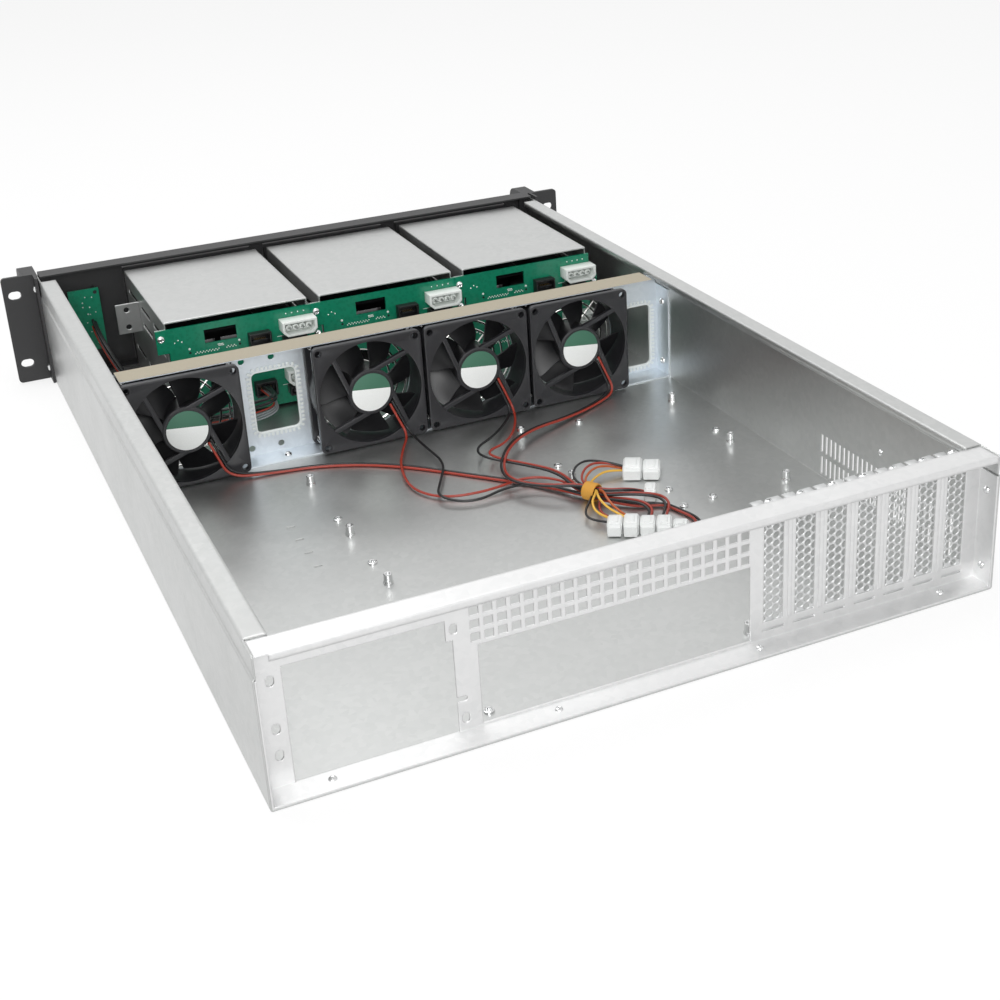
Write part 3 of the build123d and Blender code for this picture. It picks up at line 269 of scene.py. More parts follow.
# Slot covers
# Seven blanks cut from perforated strip with round holes in offset rows, their tops bent forward.
# Each hangs on its ledge under one screw.
SLOT_WINDOWS = [-74.6 - 20.32 * i for i in range(7)]
COVER_WIDTH, COVER_LOW, COVER_HIGH, COVER_THICK = 18.4, 3.2, 82.3, 0.9
COVER_FACE = 628.35
TAB_REACH = 10.0
TAB_NOTCH = (3.6, 4.5)
HOLE_RADIUS, HOLE_PITCH, HOLE_ROW = 2.05, 5.0, 4.33
HOLE_FIRST, HOLE_COUNT = 14.5, 13
JOIN_DISTANCE = 0.0005
FACINGS = {
    "up": Matrix.Identity(3),
    "front": Matrix(((1, 0, 0), (0, 0, -1), (0, 1, 0))),
    "rear": Matrix(((-1, 0, 0), (0, 0, 1), (0, 1, 0))),
    "left": Matrix(((0, 0, 1), (1, 0, 0), (0, 1, 0))),
    "right": Matrix(((0, 0, -1), (-1, 0, 0), (0, 1, 0))),
}


def in_case(x, depth, height):
    """A point in metres from its place in millimetres, with its depth counted back from the ears."""
    return (x * MM, EAR_PLANE + depth * MM, height * MM)


def place_at(x, depth, height, facing="up", turn=0.0, yaw=0.0):
    """Where a mesh in millimetres goes: its own Z looks the way it faces, about which it is turned."""
    return (Matrix.Translation(in_case(x, depth, height)) @ Matrix.Rotation(math.radians(yaw), 4, "Z")
            @ FACINGS[facing].to_4x4() @ Matrix.Rotation(math.radians(turn), 4, "Z") @ Matrix.Scale(MM, 4))


def round_ring(radius, at=(0.0, 0.0), steps=24, start=0.0, sweep_angle=360.0):
    """Points round a circle, or along an arc of it, in millimetres."""
    count = steps if sweep_angle == 360.0 else steps + 1
    angles = [math.radians(start + sweep_angle * i / steps) for i in range(count)]
    return [(at[0] + radius * math.cos(a), at[1] + radius * math.sin(a)) for a in angles]


def corner_ring(width, height, corner, at=(0.0, 0.0), steps=5):
    """Points round a rectangle with rounded corners, in millimetres."""
    points = []
    for quarter, (side, rise) in enumerate(((1, 1), (-1, 1), (-1, -1), (1, -1))):
        middle = (at[0] + side * (width / 2 - corner), at[1] + rise * (height / 2 - corner))
        points += round_ring(corner, middle, steps, 90.0 * quarter, 90.0)
    return points


def drawn(rings, closed=True, **settings):
    """The mesh of a curve with these settings, along rings of points in millimetres."""
    curve = bpy.data.curves.new("drawn", "CURVE")
    for name, value in settings.items():
        setattr(curve, name, value)
    for ring in rings:
        spline = curve.splines.new("POLY")
        spline.points.add(len(ring) - 1)
        for point, (across, up) in zip(spline.points, ring):
            point.co = (across, up, 0, 1)
        spline.use_cyclic_u = closed
    holder = bpy.data.objects.new("drawn", curve)
    mesh = bpy.data.meshes.new_from_object(holder)
    bpy.data.objects.remove(holder)
    bpy.data.curves.remove(curve)
    return mesh


def as_mesh(form, mesh):
    """Write a form to a mesh, and free the form."""
    form.to_mesh(mesh)
    form.free()
    return mesh


def cut_from(rings, thick, edge=0.0):
    """A flat mesh in millimetres, centred on its thickness, from the ring of its outline and of each hole."""
    mesh = drawn(rings, dimensions="2D", fill_mode="BOTH", extrude=thick / 2 - edge, bevel_depth=edge,
                 bevel_resolution=1, offset=-edge)
    form = bmesh.new()
    form.from_mesh(mesh)
    bmesh.ops.remove_doubles(form, verts=form.verts, dist=JOIN_DISTANCE)
    return as_mesh(form, mesh)


def put_together(name, parts, finishes, body="root", crease=35):
    """One piece from (mesh, places, finish number) rows, riding a body."""
    form = bmesh.new()
    for mesh, places, finish in parts:
        for place in places:
            known_verts, known_faces = len(form.verts), len(form.faces)
            form.from_mesh(mesh)
            form.verts.ensure_lookup_table()
            form.faces.ensure_lookup_table()
            bmesh.ops.transform(form, matrix=place, verts=form.verts[known_verts:])
            for face in form.faces[known_faces:]:
                face.material_index = finish
    made = as_mesh(form, bpy.data.meshes.new(name))
    for finish in finishes:
        made.materials.append(finish)
    made.shade_smooth()
    made.set_sharp_from_angle(angle=math.radians(crease))
    piece = bpy.data.objects.new(name, made)
    bpy.context.collection.objects.link(piece)
    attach(piece, body)
    return piece


cover_middle = (COVER_LOW + COVER_HIGH) / 2
holes = [
    round_ring(HOLE_RADIUS, ((column - 1.5) * HOLE_ROW, HOLE_FIRST + HOLE_PITCH * (row + column % 2 / 2)), 16)
    for column in range(4)
    for row in range(HOLE_COUNT)
]
cover_edge = corner_ring(COVER_WIDTH, COVER_HIGH - COVER_LOW, 0.6, (0, cover_middle), 2)
cover_sheet = cut_from([cover_edge, *holes], COVER_THICK, 0.12)
tab_half, notch_half = COVER_WIDTH / 2, TAB_NOTCH[0] / 2
tab_sheet = cut_from([[
    (-tab_half, 0), (tab_half, 0), (tab_half, TAB_REACH), (notch_half, TAB_REACH),
    *round_ring(notch_half, (0, TAB_REACH - TAB_NOTCH[1]), 8, 0, -180),
    (-notch_half, TAB_REACH), (-tab_half, TAB_REACH),
]], COVER_THICK, 0.15)
cover_places = [place_at(x, COVER_FACE - COVER_THICK / 2, 0, "rear") for x in SLOT_WINDOWS]
tab_places = [place_at(x, COVER_FACE - 0.2, COVER_HIGH - COVER_THICK / 2, turn=180) for x in SLOT_WINDOWS]
# The covers' zinc is the same sheet painted a tone between the chassis and the rear panel: painted light and
# shade for how the covers face the light.
slot_covers = put_together("slot_cover_blanks", [(cover_sheet, cover_places, 0), (tab_sheet, tab_places, 0)],
                           [zinc_sheet("galvanised_steel_covers_painted_light_and_shade", "#d3d4d4", "#c6c8c8", (0.42, 0.5), 2)])
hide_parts("slot_covers")

# Fan bracket
# One folded plate of the same zinc coated sheet, its base painted lighter than the chassis as painted light
# where its cut-outs and folds catch the rear light.
# A beige felt strip along its long top fold keeps the cover from rattling, and looks flat and warm.
BRACKET_TOP = 83.3 * MM
FELT, FELT_SHADE = "#b3ab99", "#a39b89"
FIBRE_SIZE = 0.5 * MM

painted_light_bracket_zinc = zinc_sheet("galvanised_steel_bracket_painted_light", "#dfe5ea", "#d2d9df", (0.42, 0.52), 0)
tree = painted_light_bracket_zinc.node_tree
steel = tree.nodes["Principled BSDF"]
place = in_object(tree)
fibres = noise(tree, place, FIBRE_SIZE, 3.0)
felt_tone = blend(tree, fibres, linear(FELT), linear(FELT_SHADE))
felt = node(tree, "ShaderNodeBsdfPrincipled", {"Base Color": felt_tone, "Roughness": 0.85})
height = node(tree, "ShaderNodeSeparateXYZ", {0: place}).outputs["Z"]
on_top = maths(tree, "GREATER_THAN", height, BRACKET_TOP - 0.2 * MM)
either = node(tree, "ShaderNodeMixShader", {0: on_top, 1: steel.outputs[0], 2: felt.outputs[0]})
feed(tree, tree.nodes["Material Output"], {"Surface": either.outputs[0]})
dress(painted_light_bracket_zinc, "fan_wall")

# Cable edging
# Natural nylon strip, a channel with teeth on both sides that is pressed over the edge of a cut-out.
# The teeth let it follow the corners.
CUTOUTS = ((93.0, 41.0, 34.0, 48.0), (-196.0, 32.0, 24.0, 52.0))
CUTOUT_CORNER = 5.0
WALL_FACE = 241.3
EDGING_IN, EDGING_LAP, EDGING_SIDE = 1.4, 2.4, 0.9
TOOTH_PITCH, TOOTH_WIDTH = 3.1, 2.1
GRAIN_SHADE = 0.86
SCATTER = (2 * MM, 2 * MM, 2 * MM)


def moulded(name, hex_colour, roughness, grain_size, depth, through=0.0):
    """Injection moulded plastic with a fine mould grain, which may let some light through."""
    made, tree, shader = finish_of(name)
    grain = noise(tree, in_object(tree), grain_size, 3.0)
    tone = linear(hex_colour)
    darker = [c * GRAIN_SHADE for c in tone[:3]] + [1.0]
    feed(tree, shader, {
        "Base Color": blend(tree, grain, tone, darker),
        "Roughness": roughness,
        "Subsurface Weight": through,
        "Subsurface Radius": SCATTER,
        "Normal": bumped(tree, grain, depth),
    })
    return made


def evenly_round(ring, pitch):
    """Places every pitch or so along a closed ring, each with the direction of the ring there."""
    corners = [Vector(point) for point in ring]
    lengths = [(b - a).length for a, b in zip(corners, corners[1:] + corners[:1])]
    count = round(sum(lengths) / pitch)
    step = sum(lengths) / count
    places, walked, side = [], 0.0, 0
    for number in range(count):
        goal = number * step
        while walked + lengths[side] < goal:
            walked += lengths[side]
            side += 1
        start, end = corners[side], corners[(side + 1) % len(corners)]
        along = (end - start).normalized()
        places.append((start + along * (goal - walked), math.degrees(math.atan2(along.y, along.x))))
    return places


edging_nylon = moulded("edging_nylon", "#e8edec", 0.42, 0.8 * MM, 0.1, through=0.1)
tooth = cut_from([corner_ring(TOOTH_WIDTH, EDGING_LAP + 0.3, 0.7, (0, -EDGING_LAP / 2))], EDGING_SIDE, 0.28)
edging_parts = []
for x, z, width, height in CUTOUTS:
    outline = corner_ring(width, height, CUTOUT_CORNER)
    hollow = corner_ring(width - 2 * EDGING_IN, height - 2 * EDGING_IN, CUTOUT_CORNER - EDGING_IN)
    spine = cut_from([outline, hollow], 1.0 + 2 * EDGING_SIDE, 0.3)
    teeth = [
        place_at(x + spot.x, depth, z + spot.y, "front", turn=direction)
        for spot, direction in evenly_round(outline, TOOTH_PITCH)
        for depth in (WALL_FACE - 1.0 - EDGING_SIDE / 2, WALL_FACE + EDGING_SIDE / 2)
    ]
    edging_parts += [(spine, [place_at(x, WALL_FACE - 0.5, z, "front")], 0), (tooth, teeth, 0)]
edging = put_together("toothed_cable_edging", edging_parts, [edging_nylon])
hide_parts("cable_edging")

# Backplanes
# Glass-epoxy board 1.6 mm thick under green solder mask, smooth and fairly glossy.
# Copper shows through the mask as lighter lines, and solder stands on it as small bright domes.
CAGE_CENTRES = (94.65, -22.35, -139.35)
ROW_DROPS = (0.0, -39.2)
SOCKET_FACE = 159.6
MASK_GREEN, MASK_OVER_COPPER = "#0a7355", "#0f7b5c"
TRACE_FIELD, TRACE_EDGE = 3 * MM, (0.30, 0.36)
SILK_WHITE = "#e9efe9"


def plated(name, hex_colour, low, high, patch):
    """Plated or bare metal: one colour, with a faint drift in its gloss."""
    made, tree, shader = finish_of(name)
    feed(tree, shader, {
        "Base Color": linear(hex_colour),
        "Metallic": 1.0,
        "Roughness": ranged(tree, noise(tree, in_object(tree), patch), low, high),
    })
    return made


def turned(profile, steps=24):
    """A mesh turned about Z from (radius, height) points in millimetres, closed where its ends meet."""
    form = bmesh.new()
    rings = []
    for radius, height in profile:
        if rings and (radius, height) == profile[0]:
            rings.append(rings[0])
        elif radius == 0:
            rings.append([form.verts.new((0, 0, height))] * steps)
        else:
            rings.append([form.verts.new((u, v, height)) for u, v in round_ring(radius, steps=steps)])
    for lower, upper in zip(rings, rings[1:]):
        for i in range(steps):
            corners = []
            for vert in (lower[i], lower[(i + 1) % steps], upper[(i + 1) % steps], upper[i]):
                if vert not in corners:
                    corners.append(vert)
            form.faces.new(corners)
    bmesh.ops.recalc_face_normals(form, faces=form.faces)
    return as_mesh(form, bpy.data.meshes.new("turned"))


def on_boards(spots, behind=0.0):
    """Places on the boards, at each spot across and up a row of every cage."""
    return [
        place_at(cage_x + across, SOCKET_FACE + behind, height + drop, "rear")
        for cage_x in CAGE_CENTRES
        for drop in ROW_DROPS
        for across, height in spots
    ]


# Square copper fields show through the mask, and raise it a little
board_green, tree, shader = finish_of("solder_mask_green")
upright = node(tree, "ShaderNodeMapping", {"Vector": in_object(tree), "Rotation": (math.radians(90), 0, 0)})
fields = node(tree, "ShaderNodeTexVoronoi", {"Vector": upright.outputs[0], "Scale": 1 / TRACE_FIELD},
              distance="CHEBYCHEV")
copper = ranged(tree, fields.outputs["Distance"], 0.0, 1.0, TRACE_EDGE)
feed(tree, shader, {
    "Base Color": blend(tree, copper, linear(MASK_GREEN), linear(MASK_OVER_COPPER)),
    "Roughness": 0.28,
    "Coat Weight": 0.3,
    "Normal": bumped(tree, copper, 0.2, 0.05 * MM),
})
dress(board_green, "backplane_1", "backplane_2", "backplane_3", "front_board")
solder = plated("tin_solder", "#e4e6e4", 0.16, 0.4, 0.4 * MM)
silk_ink = moulded("silkscreen_ink", SILK_WHITE, 0.6, 0.3 * MM, 0.1)
# Drilled holes are drawn as thin dark discs on the board face: painted shade where the holes are.
hole_shade_finish = moulded("hole_painted_shade", "#0b1d18", 0.8, 0.3 * MM, 0.1)

joint = turned([(0.0, 0.62), (0.22, 0.56), (0.42, 0.36), (0.62, 0.0), (0.0, 0.0)], 10)
fine_joint = turned([(0.0, 0.4), (0.26, 0.32), (0.5, 0.0), (0.0, 0.0)], 8)
hole_shade_disc = turned([(0.0, 0.06), (0.85, 0.06), (0.95, 0.0), (0.0, 0.0)], 16)
lamp_dome = turned([(0.0, 0.9), (0.5, 0.78), (0.8, 0.45), (0.9, 0.0), (0.0, 0.0)], 14)
silk_bar = cut_from([corner_ring(5.6, 0.45, 0.1)], 0.05)
silk_end = cut_from([corner_ring(0.45, 3.2, 0.1)], 0.05)
joint_spots = [(-36.4 - 4.6 * k, 74.0) for k in range(4)]
joint_spots += [(48.0 - 2.6 * k, 68.5 if k % 2 else 66.9) for k in range(3)]
fine_spots = [(33.8 - 1.15 * k, 56.4 + (0.5 if k % 2 else -0.5)) for k in range(16)]
fine_spots += [(10.6 - 1.15 * k, 57.0 + (0.5 if k % 2 else -0.5)) for k in range(7)]
fine_spots += [spot for k in range(4) for spot in ((16.6 - 1.1 * k, 60.2), (16.2 - 1.1 * k, 59.1))]
put_together("backplane_joints", [
    (joint, on_boards(joint_spots), 0),
    (fine_joint, on_boards(fine_spots), 1),
    (lamp_dome, on_boards([(38.0, 60.4), (0.8, 60.4)]), 1),
    (hole_shade_disc, on_boards([(37.8, 57.4), (0.6, 57.4)]), 2),
    (silk_bar, on_boards([(-30.6, 57.3)]), 1),
    (silk_end, on_boards([(-33.9, 57.3)]), 1),
], [solder, silk_ink, hole_shade_finish])

# Power and data sockets
# Four-pin headers of natural nylon 6.6, which lets some light through, with tinned pins in them.
# The data sockets are black PBT with a contact tongue. All are soldered to the boards.
natural_nylon = moulded("natural_nylon", "#eef2ee", 0.38, 0.8 * MM, 0.1, through=0.1)
black_pbt = moulded("black_pbt", "#151516", 0.42, 0.6 * MM, 0.1)
gilt = plated("gold_flash", "#c8a765", 0.2, 0.36, 0.6 * MM)


def keyed_ring(width, height, cut):
    """A rectangle whose two lower corners are cut off, which keys the plug."""
    half_wide, half_high = width / 2, height / 2
    return [(half_wide, half_high), (-half_wide, half_high), (-half_wide, cut - half_high),
            (cut - half_wide, -half_high), (half_wide - cut, -half_high), (half_wide, cut - half_high)]


POWER_AT, POWER_SIZE, POWER_DEPTH, POWER_FLOOR = (-43.3, 65.2), (26.6, 11.6), 12.0, 3.0
PIN_PITCH, CONTACT_PITCH = 5.08, 1.27
# Across, up, width, height and depth of the two data sockets of a row
DATA_SOCKETS = ((-14.0, 59.0, 16.6, 11.6, 7.0), (-40.2, 54.0, 18.0, 7.0, 9.0))
shroud = cut_from([keyed_ring(*POWER_SIZE, 3.4), keyed_ring(22.8, 8.2, 2.6)], POWER_DEPTH, 0.35)
shroud_floor = cut_from([keyed_ring(25.6, 10.8, 3.2)], POWER_FLOOR, 0.1)
pin = turned([(0.0, 8.6), (0.7, 8.4), (1.05, 7.4), (1.05, 0.0), (0.0, 0.0)], 14)
sleeve = turned([(1.2, 5.2), (2.1, 5.2), (2.3, 5.0), (2.3, 0.0), (1.2, 0.0), (1.2, 5.2)], 16)
pin_spots = [(POWER_AT[0] + PIN_PITCH * (k - 1.5), POWER_AT[1]) for k in range(4)]
pin_places = on_boards(pin_spots, POWER_FLOOR - 0.2)
power = put_together("power_headers", [
    (shroud, on_boards([POWER_AT], POWER_DEPTH / 2), 0),
    (shroud_floor, on_boards([POWER_AT], POWER_FLOOR / 2), 0),
    (sleeve, pin_places, 0),
    (pin, pin_places, 1),
], [natural_nylon, solder])
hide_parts("power_sockets")

data_parts = []
for across, height, width, tall, deep in DATA_SOCKETS:
    shell = cut_from([corner_ring(width, tall, 0.6), corner_ring(width - 3.0, tall - 3.0, 0.4)], deep, 0.25)
    back = cut_from([corner_ring(width - 1.0, tall - 1.0, 0.4)], 2.0, 0.1)
    tongue = cut_from([corner_ring(width - 5.0, 1.3, 0.2)], deep - 1.4, 0.1)
    contact = cut_from([corner_ring(0.7, 0.25, 0.05)], deep - 2.6)
    contact_spots = [(across + CONTACT_PITCH * (k - 3), height + 0.75) for k in range(7)]
    data_parts += [
        (shell, on_boards([(across, height)], deep / 2), 0),
        (back, on_boards([(across, height)], 1.0), 0),
        (tongue, on_boards([(across, height)], (deep - 1.4) / 2), 0),
        (contact, on_boards(contact_spots, (deep - 2.6) / 2), 1),
    ]
data = put_together("data_sockets_with_contacts", data_parts, [black_pbt, gilt])
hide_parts("data_sockets")

# Fan frames
# Black glass-filled PBT, injection moulded: two square flanges on a round duct, open at the corners.
# Four slanting struts carry the motor base, under a bare two-colour paper disc.
FAN_CENTRES = (161.4, 30.3, -52.3, -134.9)
FAN_MIDDLE = 42.05
FAN_DEPTH, FAN_HALF, FAN_CORNER = 25.0, 40.0, 4.0
BORE, DUCT, FLANGE = 37.75, 39.4, 4.0
BOLT_PITCH, BOLT_RADIUS = 71.5, 2.15
BOLT_SPOTS = [(side * BOLT_PITCH / 2, rise * BOLT_PITCH / 2) for side in (1, -1) for rise in (1, -1)]
BASE_RADIUS, BASE_THICK = 17.0, 4.0
STRUT_START, STRUT_LEAN, STRUT_WIDTH, STRUT_LENGTH = 14.5, 20.0, 3.4, 31.3
LABEL_RADIUS, LABEL_SPLIT, LABEL_TURN = 14.2, 2.4, -6


def in_fan(x, behind, facing="rear", turn=0.0, spot=(0.0, 0.0)):
    """A place in the fan at x: behind the bracket's face, and at a spot across and up from the fan's axis."""
    return place_at(x + spot[0], WALL_FACE + behind, FAN_MIDDLE + spot[1], facing, turn)


fan_plastic = moulded("fan_pbt", "#29292c", 0.36, 0.5 * MM, 0.15)
bolt_holes = [round_ring(BOLT_RADIUS, spot, 16) for spot in BOLT_SPOTS]
fan_square = corner_ring(2 * FAN_HALF, 2 * FAN_HALF, FAN_CORNER)
flange = cut_from([fan_square, round_ring(BORE, steps=72), *bolt_holes], FLANGE, 0.4)
duct = turned([(BORE + 0.05, FLANGE - 0.5), (DUCT, FLANGE - 0.5), (DUCT, FAN_DEPTH - FLANGE + 0.5),
               (BORE + 0.05, FAN_DEPTH - FLANGE + 0.5), (BORE + 0.05, FLANGE - 0.5)], 72)
base = turned([(0, 0), (BASE_RADIUS - 0.6, 0), (BASE_RADIUS, 0.6), (BASE_RADIUS, BASE_THICK - 0.9),
               (BASE_RADIUS - 0.9, BASE_THICK), (LABEL_RADIUS + 0.5, BASE_THICK),
               (LABEL_RADIUS + 0.3, BASE_THICK - 0.35), (0, BASE_THICK - 0.35)], 64)
boss = turned([(1.6, -10.0), (4.6, -10.0), (5.0, -9.6), (5.0, 0.5), (1.6, 0.5), (1.6, -10.0)], 28)
strut = cut_from([corner_ring(STRUT_WIDTH, STRUT_LENGTH + 3.0, 0.5, (0, STRUT_LENGTH / 2 - 1.5), 2)],
                 BASE_THICK - 0.6, 0.45)
boss_ring = turned([(BOLT_RADIUS + 0.1, 0.0), (3.5, 0.0), (3.3, 0.18), (BOLT_RADIUS + 0.2, 0.18),
                    (BOLT_RADIUS + 0.1, 0.0)], 20)
split = math.degrees(math.asin(LABEL_SPLIT / LABEL_RADIUS))
label_top = cut_from([round_ring(LABEL_RADIUS, (0, 0), 40, split, 180 - 2 * split)], 0.16, 0.04)
label_rest = cut_from([round_ring(LABEL_RADIUS, (0, 0), 60, 180 - split, 180 + 2 * split)], 0.16, 0.04)
label_green = moulded("label_green", "#3f705a", 0.5, 0.5 * MM, 0.05)
label_white = moulded("label_white", "#f2f4f2", 0.5, 0.5 * MM, 0.05)
for number, x in enumerate(FAN_CENTRES, start=1):
    struts = []
    for quarter in range(4):
        angle = math.radians(90 * quarter)
        spot = (STRUT_START * math.cos(angle), STRUT_START * math.sin(angle))
        struts.append(in_fan(x, FAN_DEPTH - BASE_THICK / 2 - 0.15, "front", 90 * quarter - STRUT_LEAN, spot))
    fan_frame = put_together(f"fan_frame_moulding_{number}", [
        (flange, [in_fan(x, FLANGE / 2), in_fan(x, FAN_DEPTH - FLANGE / 2 - 0.1)], 0),
        (duct, [in_fan(x, 0.0)], 0),
        (base, [in_fan(x, FAN_DEPTH - BASE_THICK)], 0),
        (boss, [in_fan(x, FAN_DEPTH - BASE_THICK)], 0),
        (strut, struts, 0),
        (boss_ring, [in_fan(x, FAN_DEPTH - 0.2, spot=spot) for spot in BOLT_SPOTS], 0),
        (label_top, [in_fan(x, FAN_DEPTH - 0.2, turn=LABEL_TURN)], 1),
        (label_rest, [in_fan(x, FAN_DEPTH - 0.2, turn=LABEL_TURN)], 2),
    ], [fan_plastic, label_green, label_white])
    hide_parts(f"fan_frame_{number}")

# Fan rotors
# The same black PBT, painted darker than the frames as painted shade inside the duct: a hub cup with seven
# twisted blades, each thin at its edges and swept forward.
# It turns on a ground steel shaft.
HUB_RADIUS, HUB_FRONT, HUB_REAR, HUB_WALL = 16.0, 1.5, 20.4, 1.5
BLADES = 7
BLADE_ROOT, BLADE_TIP = 15.1, 36.4
BLADE_FRONT = ((22.0, 3.2), (12.0, 2.6))
BLADE_REAR = ((-34.0, 18.8), (-27.0, 17.0))
BLADE_SWEEP = -9.0
BLADE_THICK, BLADE_EDGE, BLADE_CAMBER = 1.5, 0.35, 2.2
BLADE_STEPS = 12
STEP_ASIDE = 0.02


def blade_point(outwards, along):
    """A point in the middle of a blade: outwards from root to tip, and along from front edge to rear edge."""
    radius = BLADE_ROOT + (BLADE_TIP - BLADE_ROOT) * outwards
    front = [a + (b - a) * outwards for a, b in zip(*BLADE_FRONT)]
    back = [a + (b - a) * outwards for a, b in zip(*BLADE_REAR)]
    sweep_here = BLADE_SWEEP * math.sin(math.pi * outwards / 2) ** 2
    angle = math.radians(front[0] + (back[0] - front[0]) * along + sweep_here)
    camber = BLADE_CAMBER * math.sin(math.pi * along) * (1 - 0.35 * outwards)
    return Vector((radius * math.cos(angle), radius * math.sin(angle),
                   -(front[1] + (back[1] - front[1]) * along) + camber))


def blade_set():
    """All seven blades in millimetres, closed and thinner towards their edges."""
    form = bmesh.new()
    span = range(BLADE_STEPS + 1)
    for number in range(BLADES):
        spin = Matrix.Rotation(math.tau * number / BLADES, 3, "Z")
        sides = ([], [])
        for i in span:
            for j in span:
                outwards, along = i / BLADE_STEPS, j / BLADE_STEPS
                here = blade_point(outwards, along)
                step_out = blade_point(outwards + STEP_ASIDE, along) - here
                step_along = blade_point(outwards, along + STEP_ASIDE) - here
                normal = step_out.cross(step_along).normalized()
                fullness = BLADE_EDGE + (1 - BLADE_EDGE) * math.sin(math.pi * (0.06 + 0.88 * along))
                thick = BLADE_THICK * fullness / 2
                for side, sign in zip(sides, (1, -1)):
                    side.append(form.verts.new(spin @ (here + normal * thick * sign)))
        row = BLADE_STEPS + 1
        for i in range(BLADE_STEPS):
            for j in range(BLADE_STEPS):
                quad = [i * row + j, i * row + j + 1, (i + 1) * row + j + 1, (i + 1) * row + j]
                form.faces.new([sides[0][k] for k in quad])
                form.faces.new([sides[1][k] for k in reversed(quad)])
        rim = [*span]
        rim += [i * row + BLADE_STEPS for i in span][1:]
        rim += [BLADE_STEPS * row + j for j in reversed(span)][1:]
        rim += [i * row for i in reversed(span)][1:-1]
        for a, b in zip(rim, rim[1:] + rim[:1]):
            form.faces.new([sides[0][b], sides[0][a], sides[1][a], sides[1][b]])
    bmesh.ops.recalc_face_normals(form, faces=form.faces)
    return as_mesh(form, bpy.data.meshes.new("blades"))


hub = turned([
    (0.0, -HUB_FRONT), (HUB_RADIUS - 1.4, -HUB_FRONT), (HUB_RADIUS - 0.4, -HUB_FRONT - 0.4),
    (HUB_RADIUS, -HUB_FRONT - 1.4), (HUB_RADIUS, -HUB_REAR), (HUB_RADIUS - HUB_WALL, -HUB_REAR),
    (HUB_RADIUS - HUB_WALL, -HUB_FRONT - HUB_WALL), (0.0, -HUB_FRONT - HUB_WALL),
], 56)
shaft = turned([(0.0, -2.0), (1.5, -2.0), (1.5, -23.4), (1.3, -23.6), (0.0, -23.6)], 16)
blades = blade_set()
rotor_shaded_plastic = moulded("rotor_pbt_painted_shade", "#19191b", 0.4, 0.5 * MM, 0.15)
shaft_steel = plated("ground_steel", "#bcbdbd", 0.15, 0.3, 0.3 * MM)
for number, x in enumerate(FAN_CENTRES, start=1):
    at_hub = [in_fan(x, 0.0, "front", turn=14.0 * number)]
    rotor = put_together(f"fan_rotor_moulding_{number}",
                         [(hub, at_hub, 0), (blades, at_hub, 0), (shaft, at_hub, 1)],
                         [rotor_shaded_plastic, shaft_steel], body=f"rotor_{number}")
    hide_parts(f"fan_rotor_{number}")

# Finger guards
# Bright plated steel wire, welded: rings on two crossing wires, with an eye at each corner.
WIRE = 1.6
GUARD_RINGS = (36.0, 29.5, 23.0, 15.0)
EYE_RING = 2.6
GUARD_FACE = 240.3


def bent_wire(points, thick, closed=True):
    """Round wire in millimetres along points in its own plane."""
    return drawn([points], closed, dimensions="3D", bevel_depth=thick / 2, bevel_resolution=2,
                 use_fill_caps=not closed)


bright_wire = plated("bright_plated_wire", "#dcdcd8", 0.14, 0.24, 3 * MM)
reach = BOLT_PITCH / 2 - EYE_RING / math.sqrt(2)
wires = [bent_wire(round_ring(ring, steps=64), WIRE) for ring in GUARD_RINGS]
wires += [bent_wire([(-reach, -lean * reach), (reach, lean * reach)], WIRE - 0.04, False) for lean in (1, -1)]
wires += [bent_wire(round_ring(EYE_RING, spot, 20), WIRE - 0.08) for spot in BOLT_SPOTS]
at_guards = [place_at(x, GUARD_FACE - WIRE / 2, FAN_MIDDLE, "front") for x in FAN_CENTRES]
guard_parts = [(wire, at_guards, 0) for wire in wires]
guards = put_together("wire_finger_guards", guard_parts, [bright_wire])
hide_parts("fan_guards")

# Screws and rivets
# Nickel plated steel: pan head screws with a cross recess, fan screws with their threaded shank
# showing behind the flange, and domed rivets with the mark of their broken stem.
HEAD_RADIUS, HEAD_HEIGHT = 2.75, 2.0
RECESS_ARM, RECESS_WIDTH, RECESS_DEPTH = 1.65, 0.8, 1.1
nickel = plated("nickel_plate", "#dcdddd", 0.1, 0.26, 1.5 * MM)


def cross_recessed_head():
    """A pan head in millimetres, its underside on Z = 0, with the cross cut out of it."""
    dome = turned([(0.0, HEAD_HEIGHT), (1.0, HEAD_HEIGHT - 0.06), (1.9, HEAD_HEIGHT - 0.35), (2.5, 1.0),
                   (HEAD_RADIUS, 0.45), (HEAD_RADIUS - 0.1, 0.0), (0.0, 0.0)], 28)
    arm, half_wide = RECESS_ARM, RECESS_WIDTH / 2
    plus = []
    for quarter in range(4):
        spin = Matrix.Rotation(math.radians(90 * quarter), 2)
        corners = ((arm, -half_wide), (arm, half_wide), (half_wide, half_wide))
        plus += [tuple(spin @ Vector(corner)) for corner in corners]
    punch = cut_from([plus], 2 * RECESS_DEPTH)
    head, cutter = [bpy.data.objects.new(name, mesh) for name, mesh in (("head", dome), ("punch", punch))]
    cutter.location.z = HEAD_HEIGHT
    for made in (head, cutter):
        bpy.context.collection.objects.link(made)
    cut = head.modifiers.new("recess", "BOOLEAN")
    cut.object, cut.operation, cut.solver = cutter, "DIFFERENCE", "EXACT"
    bpy.context.view_layer.update()
    mesh = bpy.data.meshes.new_from_object(head.evaluated_get(bpy.context.evaluated_depsgraph_get()))
    for made in (head, cutter):
        bpy.data.objects.remove(made)
    return mesh


